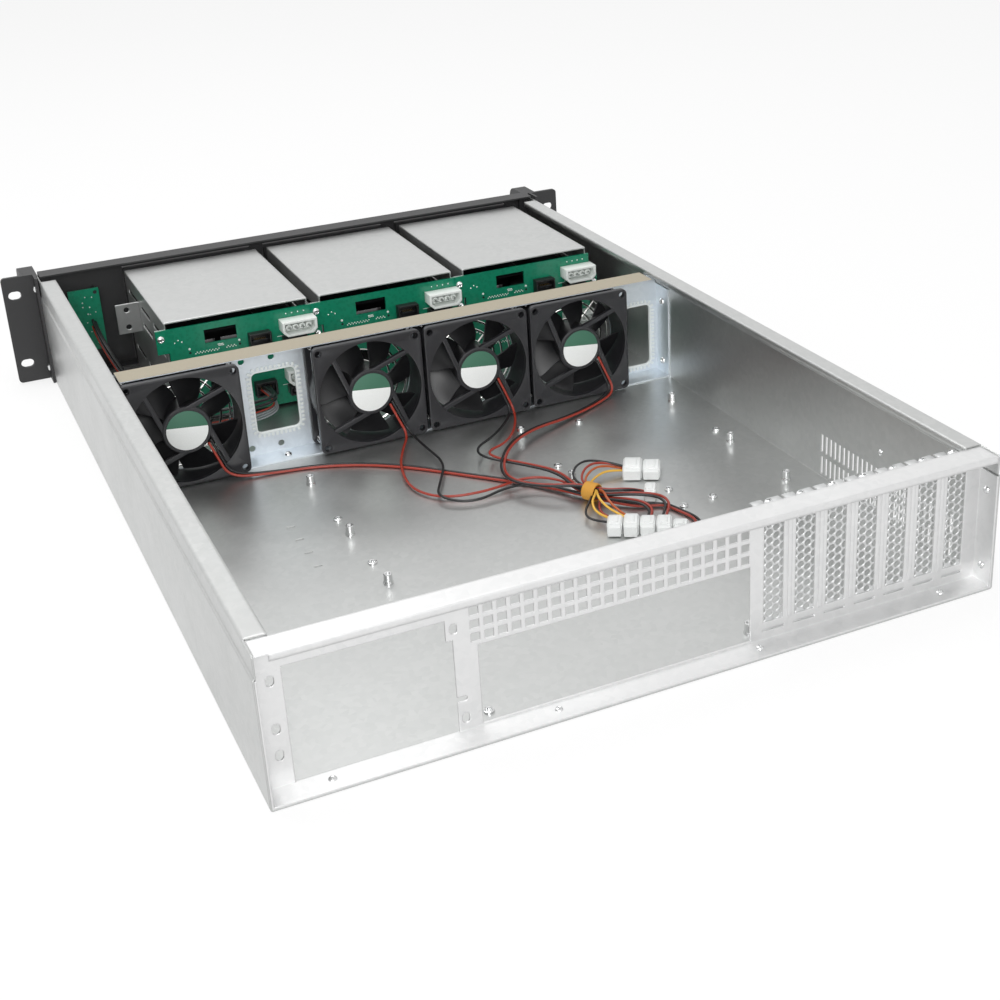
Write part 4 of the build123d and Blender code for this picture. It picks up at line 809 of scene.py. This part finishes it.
# Places of the screws: on a cage's two tabs (across and up), on the flanges and the ears, and of the rivets
TAB_SCREWS = ((57.4, 71.5), (-59.3, 54.05))
FLANGE_DEPTH, FLANGE_SCREW_ROWS = WALL_FACE + 10.0, (60.6, 11.8)
EAR_DEPTH, EAR_SCREW_ROWS = 7.0, (78.0, 12.0)
RIVET_DEPTH, FLOOR_RIVETS, RIVET_ROWS = 635.5, (181.3, 59.4, -62.3, -184.3), (60.8, 12.3)
INNER_WALLS = (("right", 213.0), ("left", -213.0))
OUTER_WALLS = (("left", 217.0), ("right", -217.0))
THREAD_TURNS, THREAD_PITCH = 9, 1.35

pan_head = cross_recessed_head()
threads = [(0.0, 0.0)]
for count in range(THREAD_TURNS):
    drop = THREAD_PITCH * count
    threads += [(1.75, -0.6 - drop), (2.05, -1.0 - drop), (1.75, -1.4 - drop)]
threads += [(1.2, -12.9), (0.0, -13.2)]
shank = turned(threads, 18)
fan_screw_places = [
    in_fan(x, GUARD_FACE - WIRE - WALL_FACE, "front", 17.0 * side + 31.0 * rise,
           (side * BOLT_PITCH / 2, rise * BOLT_PITCH / 2))
    for x in FAN_CENTRES for side in (1, -1) for rise in (1, -1)
]

case_screw_places = [place_at(x, COVER_FACE - 5.0, COVER_HIGH, turn=23.0 * number)
                     for number, x in enumerate(SLOT_WINDOWS)]
case_screw_places += [place_at(cage_x + across, SOCKET_FACE, height, "rear", turn=across)
                      for cage_x in CAGE_CENTRES for across, height in TAB_SCREWS]
case_screw_places.append(place_at(91.44, FLANGE_DEPTH, 2.0, turn=12))
case_screw_places += [place_at(x, FLANGE_DEPTH, height, facing, turn=height)
                      for facing, x in INNER_WALLS for height in FLANGE_SCREW_ROWS]
case_screw_places += [place_at(x, EAR_DEPTH, height, facing, turn=height)
                      for facing, x in OUTER_WALLS for height in EAR_SCREW_ROWS]

rivet = turned([(0.0, 0.75), (0.45, 0.75), (0.55, 1.1), (0.95, 1.2), (1.6, 0.95), (2.1, 0.45), (2.3, 0.0),
                (0.0, 0.0)], 24)
rivet_places = [place_at(x, RIVET_DEPTH, 2.0) for x in FLOOR_RIVETS]
rivet_places += [place_at(x, RIVET_DEPTH, height, facing)
                 for facing, x in INNER_WALLS for height in RIVET_ROWS]
rivet_places.append(place_at(-214.0, 533.8, 43.7, "left"))

fan_screw_parts = [(pan_head, fan_screw_places, 0), (shank, fan_screw_places, 0)]
for name, parts, crease, replaced in (
    ("fan_screws_with_shanks", fan_screw_parts, 30, "fan_screws"),
    ("pan_head_screws", [(pan_head, case_screw_places, 0)], 30, "case_screws"),
    ("domed_rivets", [(rivet, rivet_places, 0)], 35, "rivets"),
):
    piece = put_together(name, parts, [nickel], crease=crease)
    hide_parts(replaced)

# Stand-offs and floor inserts
# Turned and threaded M3 steel, bright nickel plated, pressed into the floor with a small foot ring.
GRID_X = (91.44, -66.04, -190.5)
GRID_Y = (305.8, 390.87, 463.26, 618.2)
STANDOFF_SPOTS = (
    (GRID_X[0], GRID_Y[0]), (GRID_X[0], GRID_Y[1]), (GRID_X[0], GRID_Y[2]),
    (GRID_X[1], GRID_Y[0]), (GRID_X[1], GRID_Y[1]), (GRID_X[1], GRID_Y[3]),
    (GRID_X[2], GRID_Y[0]), (GRID_X[2], GRID_Y[1]), (GRID_X[2], GRID_Y[2]),
)
INSERT_SPOTS = (
    (92.0, 367.0), (91.6, 434.5), (-112.8, 305.0), (-67.0, 366.0), (-191.5, 369.0),
    (-115.0, 437.0), (-135.0, 461.0), (-111.8, 463.3), (GRID_X[0], GRID_Y[3]),
)
BORE_TURNS, BORE_PITCH = 8, 0.6
bore_threads = []
for count in range(BORE_TURNS):
    bore_threads += [(1.5, 6.8 - BORE_PITCH * count), (1.28, 6.5 - BORE_PITCH * count)]
standoff = turned([(0.0, 0.0), (3.2, 0.0), (3.2, 0.9), (3.05, 1.3), (2.7, 2.2), (2.6, 6.7), (2.35, 7.0),
                   (1.7, 7.0), *bore_threads, (1.2, 2.0), (0.0, 1.6)], 30)
insert = turned([(0.0, 0.0), (3.0, 0.0), (3.0, 0.9), (2.85, 1.2), (2.3, 1.35), (2.1, 1.8), (1.7, 1.8),
                 (1.45, 1.55), (1.45, 0.3), (0.0, 0.3)], 28)
for name, mesh, spots, replaced in (
    ("turned_standoffs", standoff, STANDOFF_SPOTS, "standoffs"),
    ("pressed_inserts", insert, INSERT_SPOTS, "floor_inserts"),
):
    piece = put_together(name, [(mesh, [place_at(x, depth, 1.0) for x, depth in spots], 0)], [nickel])
    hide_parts(replaced)

# Front panel, rack ears and handles
# Thicker sheet and bar, powder coated black in a fine sand texture, so it looks flat and dry.
POWDER_BLACK, POWDER_HIGH = "#1b1b1c", "#2b2b2c"
POWDER_GRAIN = 0.45 * MM

powder_coat, tree, shader = finish_of("powder_coated_steel")
grain = noise(tree, in_object(tree), POWDER_GRAIN)
feed(tree, shader, {
    "Base Color": blend(tree, grain, linear(POWDER_BLACK), linear(POWDER_HIGH)),
    "Roughness": 0.5,
    "Normal": bumped(tree, grain, 0.35, 0.3 * MM),
})
dress(powder_coat, "front_panel", "rack_ear_left", "rack_ear_right", "handle_left", "handle_right")

# Hot-swap trays, levers and push buttons
# Black ABS with a slightly coarser moulded grain than the fans.
tray_plastic = moulded("tray_abs", "#1e1e20", 0.5, 0.7 * MM, 0.25)
lever_plastic = moulded("lever_abs", "#2c2c2f", 0.42, 0.6 * MM, 0.2)
dress(tray_plastic, *[f"drive_tray_{i}" for i in range(1, 7)])
dress(lever_plastic, *[f"tray_lever_{i}" for i in range(1, 7)], "power_button", "reset_button")

# Control board, its sockets and lamps
# The small board stands off the front panel on studs. Its joints face the rear, and two stamped
# shells of tinned steel and two clear epoxy lamps reach through the panel.
CONTROL_FACE = 9.6
CONTROL_JOINTS = ((181.5, 65.4), (176.2, 64.6), (184.0, 61.0), (179.0, 56.6), (184.2, 57.4), (181.0, 51.2),
                  (179.4, 50.8), (182.6, 44.0), (177.6, 43.4), (180.4, 36.0), (174.8, 52.0), (174.4, 33.0))
put_together("control_board_joints", [
    (joint, [place_at(x, CONTROL_FACE, z, "rear") for x, z in CONTROL_JOINTS[:6]], 0),
    (fine_joint, [place_at(x, CONTROL_FACE, z, "rear") for x, z in CONTROL_JOINTS[6:]], 0),
], [solder])
tinned = plated("tinned_steel", "#cfd0ce", 0.2, 0.34, 2 * MM)
dress(tinned, "usb_sockets")
dress(moulded("led_epoxy", "#d8ddd2", 0.18, 1.0 * MM, 0.05), "status_leds")

# Fan wires
# Stranded hook-up wire in PVC insulation, limp, about 1.8 mm over the insulation.
# Each fan's pair drops from its motor, crosses the floor and meets the others in the tie.
WIRE_DIAMETER = 1.8 * MM
STRAND_DIAMETER = 1.6 * MM
pvc = {
    "red": moulded("red_pvc", "#9c3222", 0.36, 0.6 * MM, 0.08),
    "black": moulded("black_pvc", "#141416", 0.34, 0.6 * MM, 0.08),
    "yellow": moulded("yellow_pvc", "#e5b445", 0.38, 0.6 * MM, 0.08),
    "orange": moulded("orange_pvc", "#b85a2a", 0.38, 0.6 * MM, 0.08),
}
WIRE_ROUTES = {
    "fan_wire_1_black": (0.394, [
        (146.7, 265.3, 32.1), (142.4, 268.0, 20.3), (136.8, 270.2, 5.0), (112.0, 274.0, 2.1),
        (72.0, 281.0, 2.1), (30.0, 306.0, 2.1), (-10.0, 350.0, 2.1), (-44.0, 389.0, 2.8),
        (-60.45, 416.65, 3.7), (-69.45, 432.25, 3.7), (-86.0, 450.0, 2.6), (-102.0, 454.5, 2.6),
        (-106.0, 467.0, 2.6), (-110.5, 483.0, 2.6), (-107.0, 495.5, 3.5), (-97.3, 496.5, 5.0),
    ]),
    "fan_wire_1_red": (0.386, [
        (148.3, 265.3, 30.05), (144.5, 268.0, 19.5), (138.9, 272.4, 4.2), (112.8, 276.4, 2.1),
        (73.2, 283.3, 2.1), (31.8, 308.0, 2.1), (-8.2, 351.7, 2.1), (-42.0, 390.3, 2.8),
        (-58.55, 417.75, 3.7), (-67.55, 433.35, 3.7), (-85.0, 452.4, 2.6), (-100.4, 456.6, 2.6),
        (-103.8, 467.2, 2.6), (-108.2, 482.6, 2.6), (-105.0, 492.6, 3.5), (-98.6, 494.3, 5.0),
    ]),
    "fan_wire_2_black": (0.308, [
        (15.6, 265.3, 32.1), (11.3, 268.0, 20.3), (5.7, 270.2, 6.5), (3.5, 298.0, 4.6),
        (1.5, 328.0, 4.9), (16.0, 356.0, 5.2), (27.0, 378.0, 6.0), (8.0, 395.0, 4.0),
        (-22.0, 387.5, 6.8), (-44.0, 395.0, 5.6), (-56.64, 418.85, 5.9), (-65.64, 434.45, 5.9),
        (-78.5, 448.3, 7.2), (-86.2, 456.0, 6.3), (-85.8, 467.4, 5.3), (-77.7, 474.3, 5.2),
    ]),
    "fan_wire_2_red": (0.313, [
        (17.2, 265.3, 30.05), (13.4, 268.0, 19.5), (7.8, 271.4, 5.5), (19.0, 291.0, 5.0),
        (31.0, 318.0, 4.9), (36.0, 352.0, 3.0), (22.0, 377.0, 3.4), (-8.0, 384.0, 4.6),
        (-38.0, 379.0, 6.2), (-56.5, 396.0, 6.0), (-58.55, 417.75, 5.9), (-67.55, 433.35, 5.9),
        (-80.5, 446.5, 7.5), (-88.5, 455.5, 6.5), (-88.0, 467.5, 5.5), (-79.6, 475.35, 5.2),
    ]),
    "fan_wire_3_black": (0.284, [
        (-65.4, 265.3, 30.05), (-69.2, 268.0, 19.5), (-74.0, 270.8, 5.8), (-58.0, 291.0, 5.0),
        (-41.0, 309.0, 6.5), (-24.0, 322.0, 7.6), (-22.0, 339.5, 7.8), (-42.5, 365.2, 7.8),
        (-56.0, 389.7, 8.8), (-56.64, 418.85, 8.1), (-65.64, 434.45, 8.1), (-82.0, 445.8, 10.0),
        (-96.5, 454.0, 8.8), (-99.3, 462.4, 7.0), (-93.8, 470.6, 6.0), (-86.7, 479.1, 5.5),
    ]),
    "fan_wire_3_red": (0.286, [
        (-67.0, 265.3, 32.1), (-71.3, 268.0, 20.3), (-76.9, 270.2, 5.0), (-66.0, 296.0, 4.2),
        (-48.0, 322.0, 6.5), (-29.0, 330.5, 7.4), (-29.5, 343.5, 7.6), (-44.5, 363.5, 7.8),
        (-58.5, 388.0, 8.8), (-58.55, 417.75, 8.1), (-67.55, 433.35, 8.1), (-83.5, 443.5, 10.0),
        (-100.0, 453.5, 8.8), (-101.5, 463.0, 7.0), (-95.5, 472.0, 6.0), (-88.6, 480.2, 5.5),
    ]),
    "fan_wire_4_black": (0.310, [
        (-148.0, 265.3, 30.05), (-151.8, 268.0, 19.5), (-157.2, 269.9, 5.4), (-140.0, 281.0, 3.2),
        (-108.0, 296.0, 3.5), (-72.0, 310.5, 7.8), (-43.0, 334.0, 10.6), (-24.0, 364.0, 9.8),
        (-22.0, 386.0, 9.2), (-36.5, 406.5, 10.0), (-58.55, 417.75, 10.5), (-67.55, 433.35, 10.5),
        (-79.5, 443.2, 12.6), (-89.5, 440.8, 9.0), (-94.35, 440.0, 5.6),
    ]),
    "fan_wire_4_red": (0.310, [
        (-149.6, 265.3, 32.1), (-153.9, 268.0, 20.3), (-159.8, 271.6, 4.2), (-140.9, 283.0, 2.6),
        (-108.9, 298.0, 3.4), (-73.1, 312.4, 7.8), (-44.6, 335.5, 10.6), (-26.1, 364.7, 9.8),
        (-24.1, 385.4, 9.2), (-37.9, 404.8, 10.0), (-60.45, 416.65, 10.5), (-69.45, 432.25, 10.5),
        (-80.0, 441.0, 12.4), (-89.0, 438.3, 8.6), (-95.5, 438.0, 5.6),
    ]),
}


def lay_wire(name, points, diameter, finish):
    """A smooth round wire over a list of points in metres."""
    curve = bpy.data.curves.new(name, "CURVE")
    curve.dimensions = "3D"
    curve.bevel_depth = diameter / 2
    curve.bevel_resolution = 4
    curve.use_fill_caps = True
    spline = curve.splines.new("NURBS")
    spline.points.add(len(points) - 1)
    for point, place in zip(spline.points, points):
        point.co = (*place, 1)
    spline.order_u = 3
    spline.use_endpoint_u = True
    spline.resolution_u = 8
    curve.materials.append(finish)
    made = bpy.data.objects.new(name, curve)
    bpy.context.collection.objects.link(made)
    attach(made, "root")
    return made


# Plugs
# Moulded natural nylon housings: a mated power pair, a row of five side by side and a small one.
# Each has a collar where it mates and a latch on its top.
PLUG_YAW = -30.0
plug_nylon = moulded("plug_nylon", "#f1f3f2", 0.36, 0.8 * MM, 0.08, through=0.25)
PLUG_SPOTS = {
    "pair_plug_near": (-105.4, 403.75, 13.0, 21.0, 9.0),
    "pair_plug_far": (-116.6, 410.22, 12.0, 19.5, 8.0),
    "small_plug": (-99.5, 440.5, 8.0, 16.0, 8.0),
    "row_plug_1": (-57.0, 472.0, 9.8, 17.0, 8.5),
    "row_plug_2": (-66.0, 477.2, 9.8, 18.0, 9.1),
    "row_plug_3": (-75.0, 482.4, 9.8, 16.0, 8.5),
    "row_plug_4": (-84.0, 487.6, 9.8, 17.0, 8.5),
    "row_plug_5": (-93.0, 492.8, 9.8, 12.0, 7.0),
}
COLLAR, LATCH_HEIGHT = 4.5, 0.7


def plug_housing(name, x, depth, length, width, height):
    """One plug in its place: a chamfered body, its narrower collar, a latch and ribs."""
    body_high = height - LATCH_HEIGHT
    body_ring = [(-u, -v) for u, v in keyed_ring(length, body_high, 1.3)]
    main = cut_from([body_ring], width - COLLAR, 0.35)
    collar = cut_from([corner_ring(length - 1.4, body_high - 1.4, 0.8)], COLLAR + 1.0, 0.3)
    latch = cut_from([corner_ring(length * 0.42, width * 0.45, 0.8)], LATCH_HEIGHT + 0.6, 0.25)
    rib = cut_from([corner_ring(0.7, width * 0.5, 0.2)], 0.5, 0.15)
    middle = 1.0 + body_high / 2

    def beside(across, along, rise, facing="up"):
        swing = Matrix.Rotation(math.radians(PLUG_YAW), 2) @ Vector((across, along))
        return place_at(x + swing.x, depth + swing.y, rise, facing, yaw=PLUG_YAW)

    made = put_together(name, [
        (main, [beside(0, -COLLAR / 2, middle, "front")], 0),
        (collar, [beside(0, (width - COLLAR - 1.0) / 2, middle, "front")], 0),
        (latch, [beside(0, -width * 0.08, 1.0 + body_high + LATCH_HEIGHT / 2 - 0.3)], 0),
        (rib, [beside(side * length * 0.36, -width * 0.12, 1.0 + body_high + 0.1) for side in (1, -1)], 0),
    ], [plug_nylon])
    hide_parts("fan_plugs")
    return made


plugs = {name: plug_housing(name, *spot) for name, spot in PLUG_SPOTS.items()}

# Wire tie
# A short wrap of ochre foam tape, soft and open celled, that holds the bundle.
tie_foam = moulded("tie_foam", "#d0973b", 0.78, 0.9 * MM, 0.6)
tie_ring = turned([(5.2, -4.5), (5.95, -4.5), (6.2, -3.8), (6.3, -1.5), (6.15, 0.2), (6.3, 1.8), (6.2, 3.9),
                   (5.9, 4.5), (5.2, 4.5), (5.2, -4.5)], 36)
bundle_way = Vector((-0.5, 0.866, 0)).to_track_quat("Z", "Y").to_matrix().to_4x4()
tie_place = Matrix.Translation(in_case(-64.0, 425.0, 7.6)) @ bundle_way @ Matrix.Scale(MM, 4)
tie = put_together("foam_wire_tie", [(tie_ring, [tie_place], 0)], [tie_foam])
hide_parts("wire_tie")

# Cords of the fans
# Each wire leaves its motor and ends in its fan's plug, and all pass through the tie.
for name, (length, route) in WIRE_ROUTES.items():
    points = [in_case(*spot) for spot in route]
    fan, colour_name = name.rsplit("_", 1)
    wire = lay_wire(f"{name}_insulation", points, WIRE_DIAMETER, pvc[colour_name])
    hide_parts(name)

# Short leads between the tie and the plugs
# Thinner wires of the same kind fan out from the tie.
# Some go back to the mated pair, and some go on to the first plugs of the row.
SHORT_LEADS = {
    "pair_lead_yellow": ("pair_plug_near", [
        (-66.4, 425.0, 6.0), (-68.0, 412.0, 5.8), (-79.0, 401.5, 5.4),
        (-90.0, 397.5, 5.6), (-99.8, 400.5, 4.2)]),
    "pair_lead_orange": ("pair_plug_near", [
        (-66.0, 426.0, 7.4), (-64.5, 411.0, 7.2), (-76.0, 397.5, 8.8),
        (-89.0, 393.5, 8.4), (-100.6, 399.2, 5.0)]),
    "pair_lead_red": ("pair_plug_near", [
        (-65.4, 425.4, 8.6), (-62.0, 411.5, 8.6), (-73.5, 395.0, 11.0),
        (-87.5, 391.5, 10.5), (-100.3, 399.6, 7.0)]),
    "pair_lead_black": ("pair_plug_near", [
        (-63.5, 424.0, 9.6), (-57.8, 408.0, 9.5), (-68.0, 391.5, 12.5),
        (-84.0, 388.0, 12.0), (-99.7, 400.4, 7.6)]),
    "row_lead_yellow": ("row_plug_1", [
        (-66.0, 427.6, 9.6), (-61.5, 437.0, 12.5), (-53.0, 447.0, 11.5),
        (-52.5, 457.0, 7.5), (-60.6, 466.0, 5.4)]),
    "row_lead_red": ("row_plug_1", [
        (-66.8, 428.5, 6.6), (-63.5, 439.0, 8.0), (-57.5, 448.5, 7.5),
        (-56.6, 457.0, 6.0), (-62.4, 465.6, 4.6)]),
    "row_lead_black": ("row_plug_1", [
        (-64.6, 427.2, 7.6), (-58.0, 435.0, 7.4), (-47.5, 447.0, 5.0),
        (-48.5, 458.5, 4.6), (-59.0, 466.4, 4.4)]),
    "row_lead_orange": ("row_plug_2", [
        (-67.2, 428.6, 9.8), (-66.0, 439.0, 13.5), (-62.5, 450.0, 14.0),
        (-64.5, 461.0, 9.5), (-70.6, 470.6, 5.2)]),
    "row_lead_gold": ("row_plug_2", [
        (-66.4, 428.2, 8.6), (-60.5, 440.0, 14.5), (-57.0, 451.0, 14.5),
        (-60.5, 461.5, 10.0), (-69.2, 471.4, 5.8)]),
}
pvc["gold"] = pvc["yellow"]
# A smooth lead is this much shorter than the straight spans between its points
for name, (plug_name, route) in SHORT_LEADS.items():
    colour_name = name.rsplit("_", 1)[1]
    points = [in_case(*spot) for spot in route]
    wire = lay_wire(name, points, STRAND_DIAMETER, pvc[colour_name])
    if plug_name == "pair_plug_near":
        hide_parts("power_lead")

# Cables behind the left cut-out
# Two round black cables and a flat group of thinner wires leave the lower left data socket, cross
# the cut-out, and run along the cage to the control board.
CABLE_WAY = [
    (80.6, 165.2, 19.8), (81.0, 186.0, 20.6), (84.0, 208.0, 23.0), (96.0, 224.0, 26.0),
    (118.0, 228.0, 26.0), (146.0, 218.0, 22.0), (160.0, 188.0, 16.0), (166.0, 130.0, 12.0),
    (172.0, 60.0, 20.0), (177.0, 24.0, 34.0), (177.0, 10.4, 40.0),
]
# How far the cables are spread over one another at each point, from the socket to the board
CABLE_SPREAD = [math.sin(math.pi * min(step / 4, 1) / 2) for step in range(7)] + [0.5] * 4
CABLE_LAG, CABLE_SHORTENING = 0.25, 0.985
# Each cable's colour, its thickness, its place in the socket's mouth, and its rise where it is spread
CABLES = {
    "socket_cable_upper": ("black", 2.4, (2.6, 2.4), 9.0),
    "socket_cable_lower": ("black", 2.4, (-1.0, 2.4), 5.4),
    "socket_wire_red": ("red", 1.3, (4.6, 0.0), 1.6),
    "socket_wire_1": ("grey", 1.3, (2.6, -0.8), -0.4),
    "socket_wire_2": ("grey", 1.3, (0.6, -0.8), -2.2),
    "socket_wire_3": ("grey", 1.3, (-1.4, -0.8), -4.0),
}
pvc["grey"] = moulded("grey_pvc", "#8d9194", 0.4, 0.6 * MM, 0.08)
for name, (colour_name, thick, (aside, above), rise) in CABLES.items():
    points = [
        in_case(x + aside * (1 - spread), depth - CABLE_LAG * rise * spread,
                height + above * (1 - spread) + rise * spread)
        for (x, depth, height), spread in zip(CABLE_WAY, CABLE_SPREAD)
    ]
    cable = lay_wire(name, points, thick * MM, pvc[colour_name])
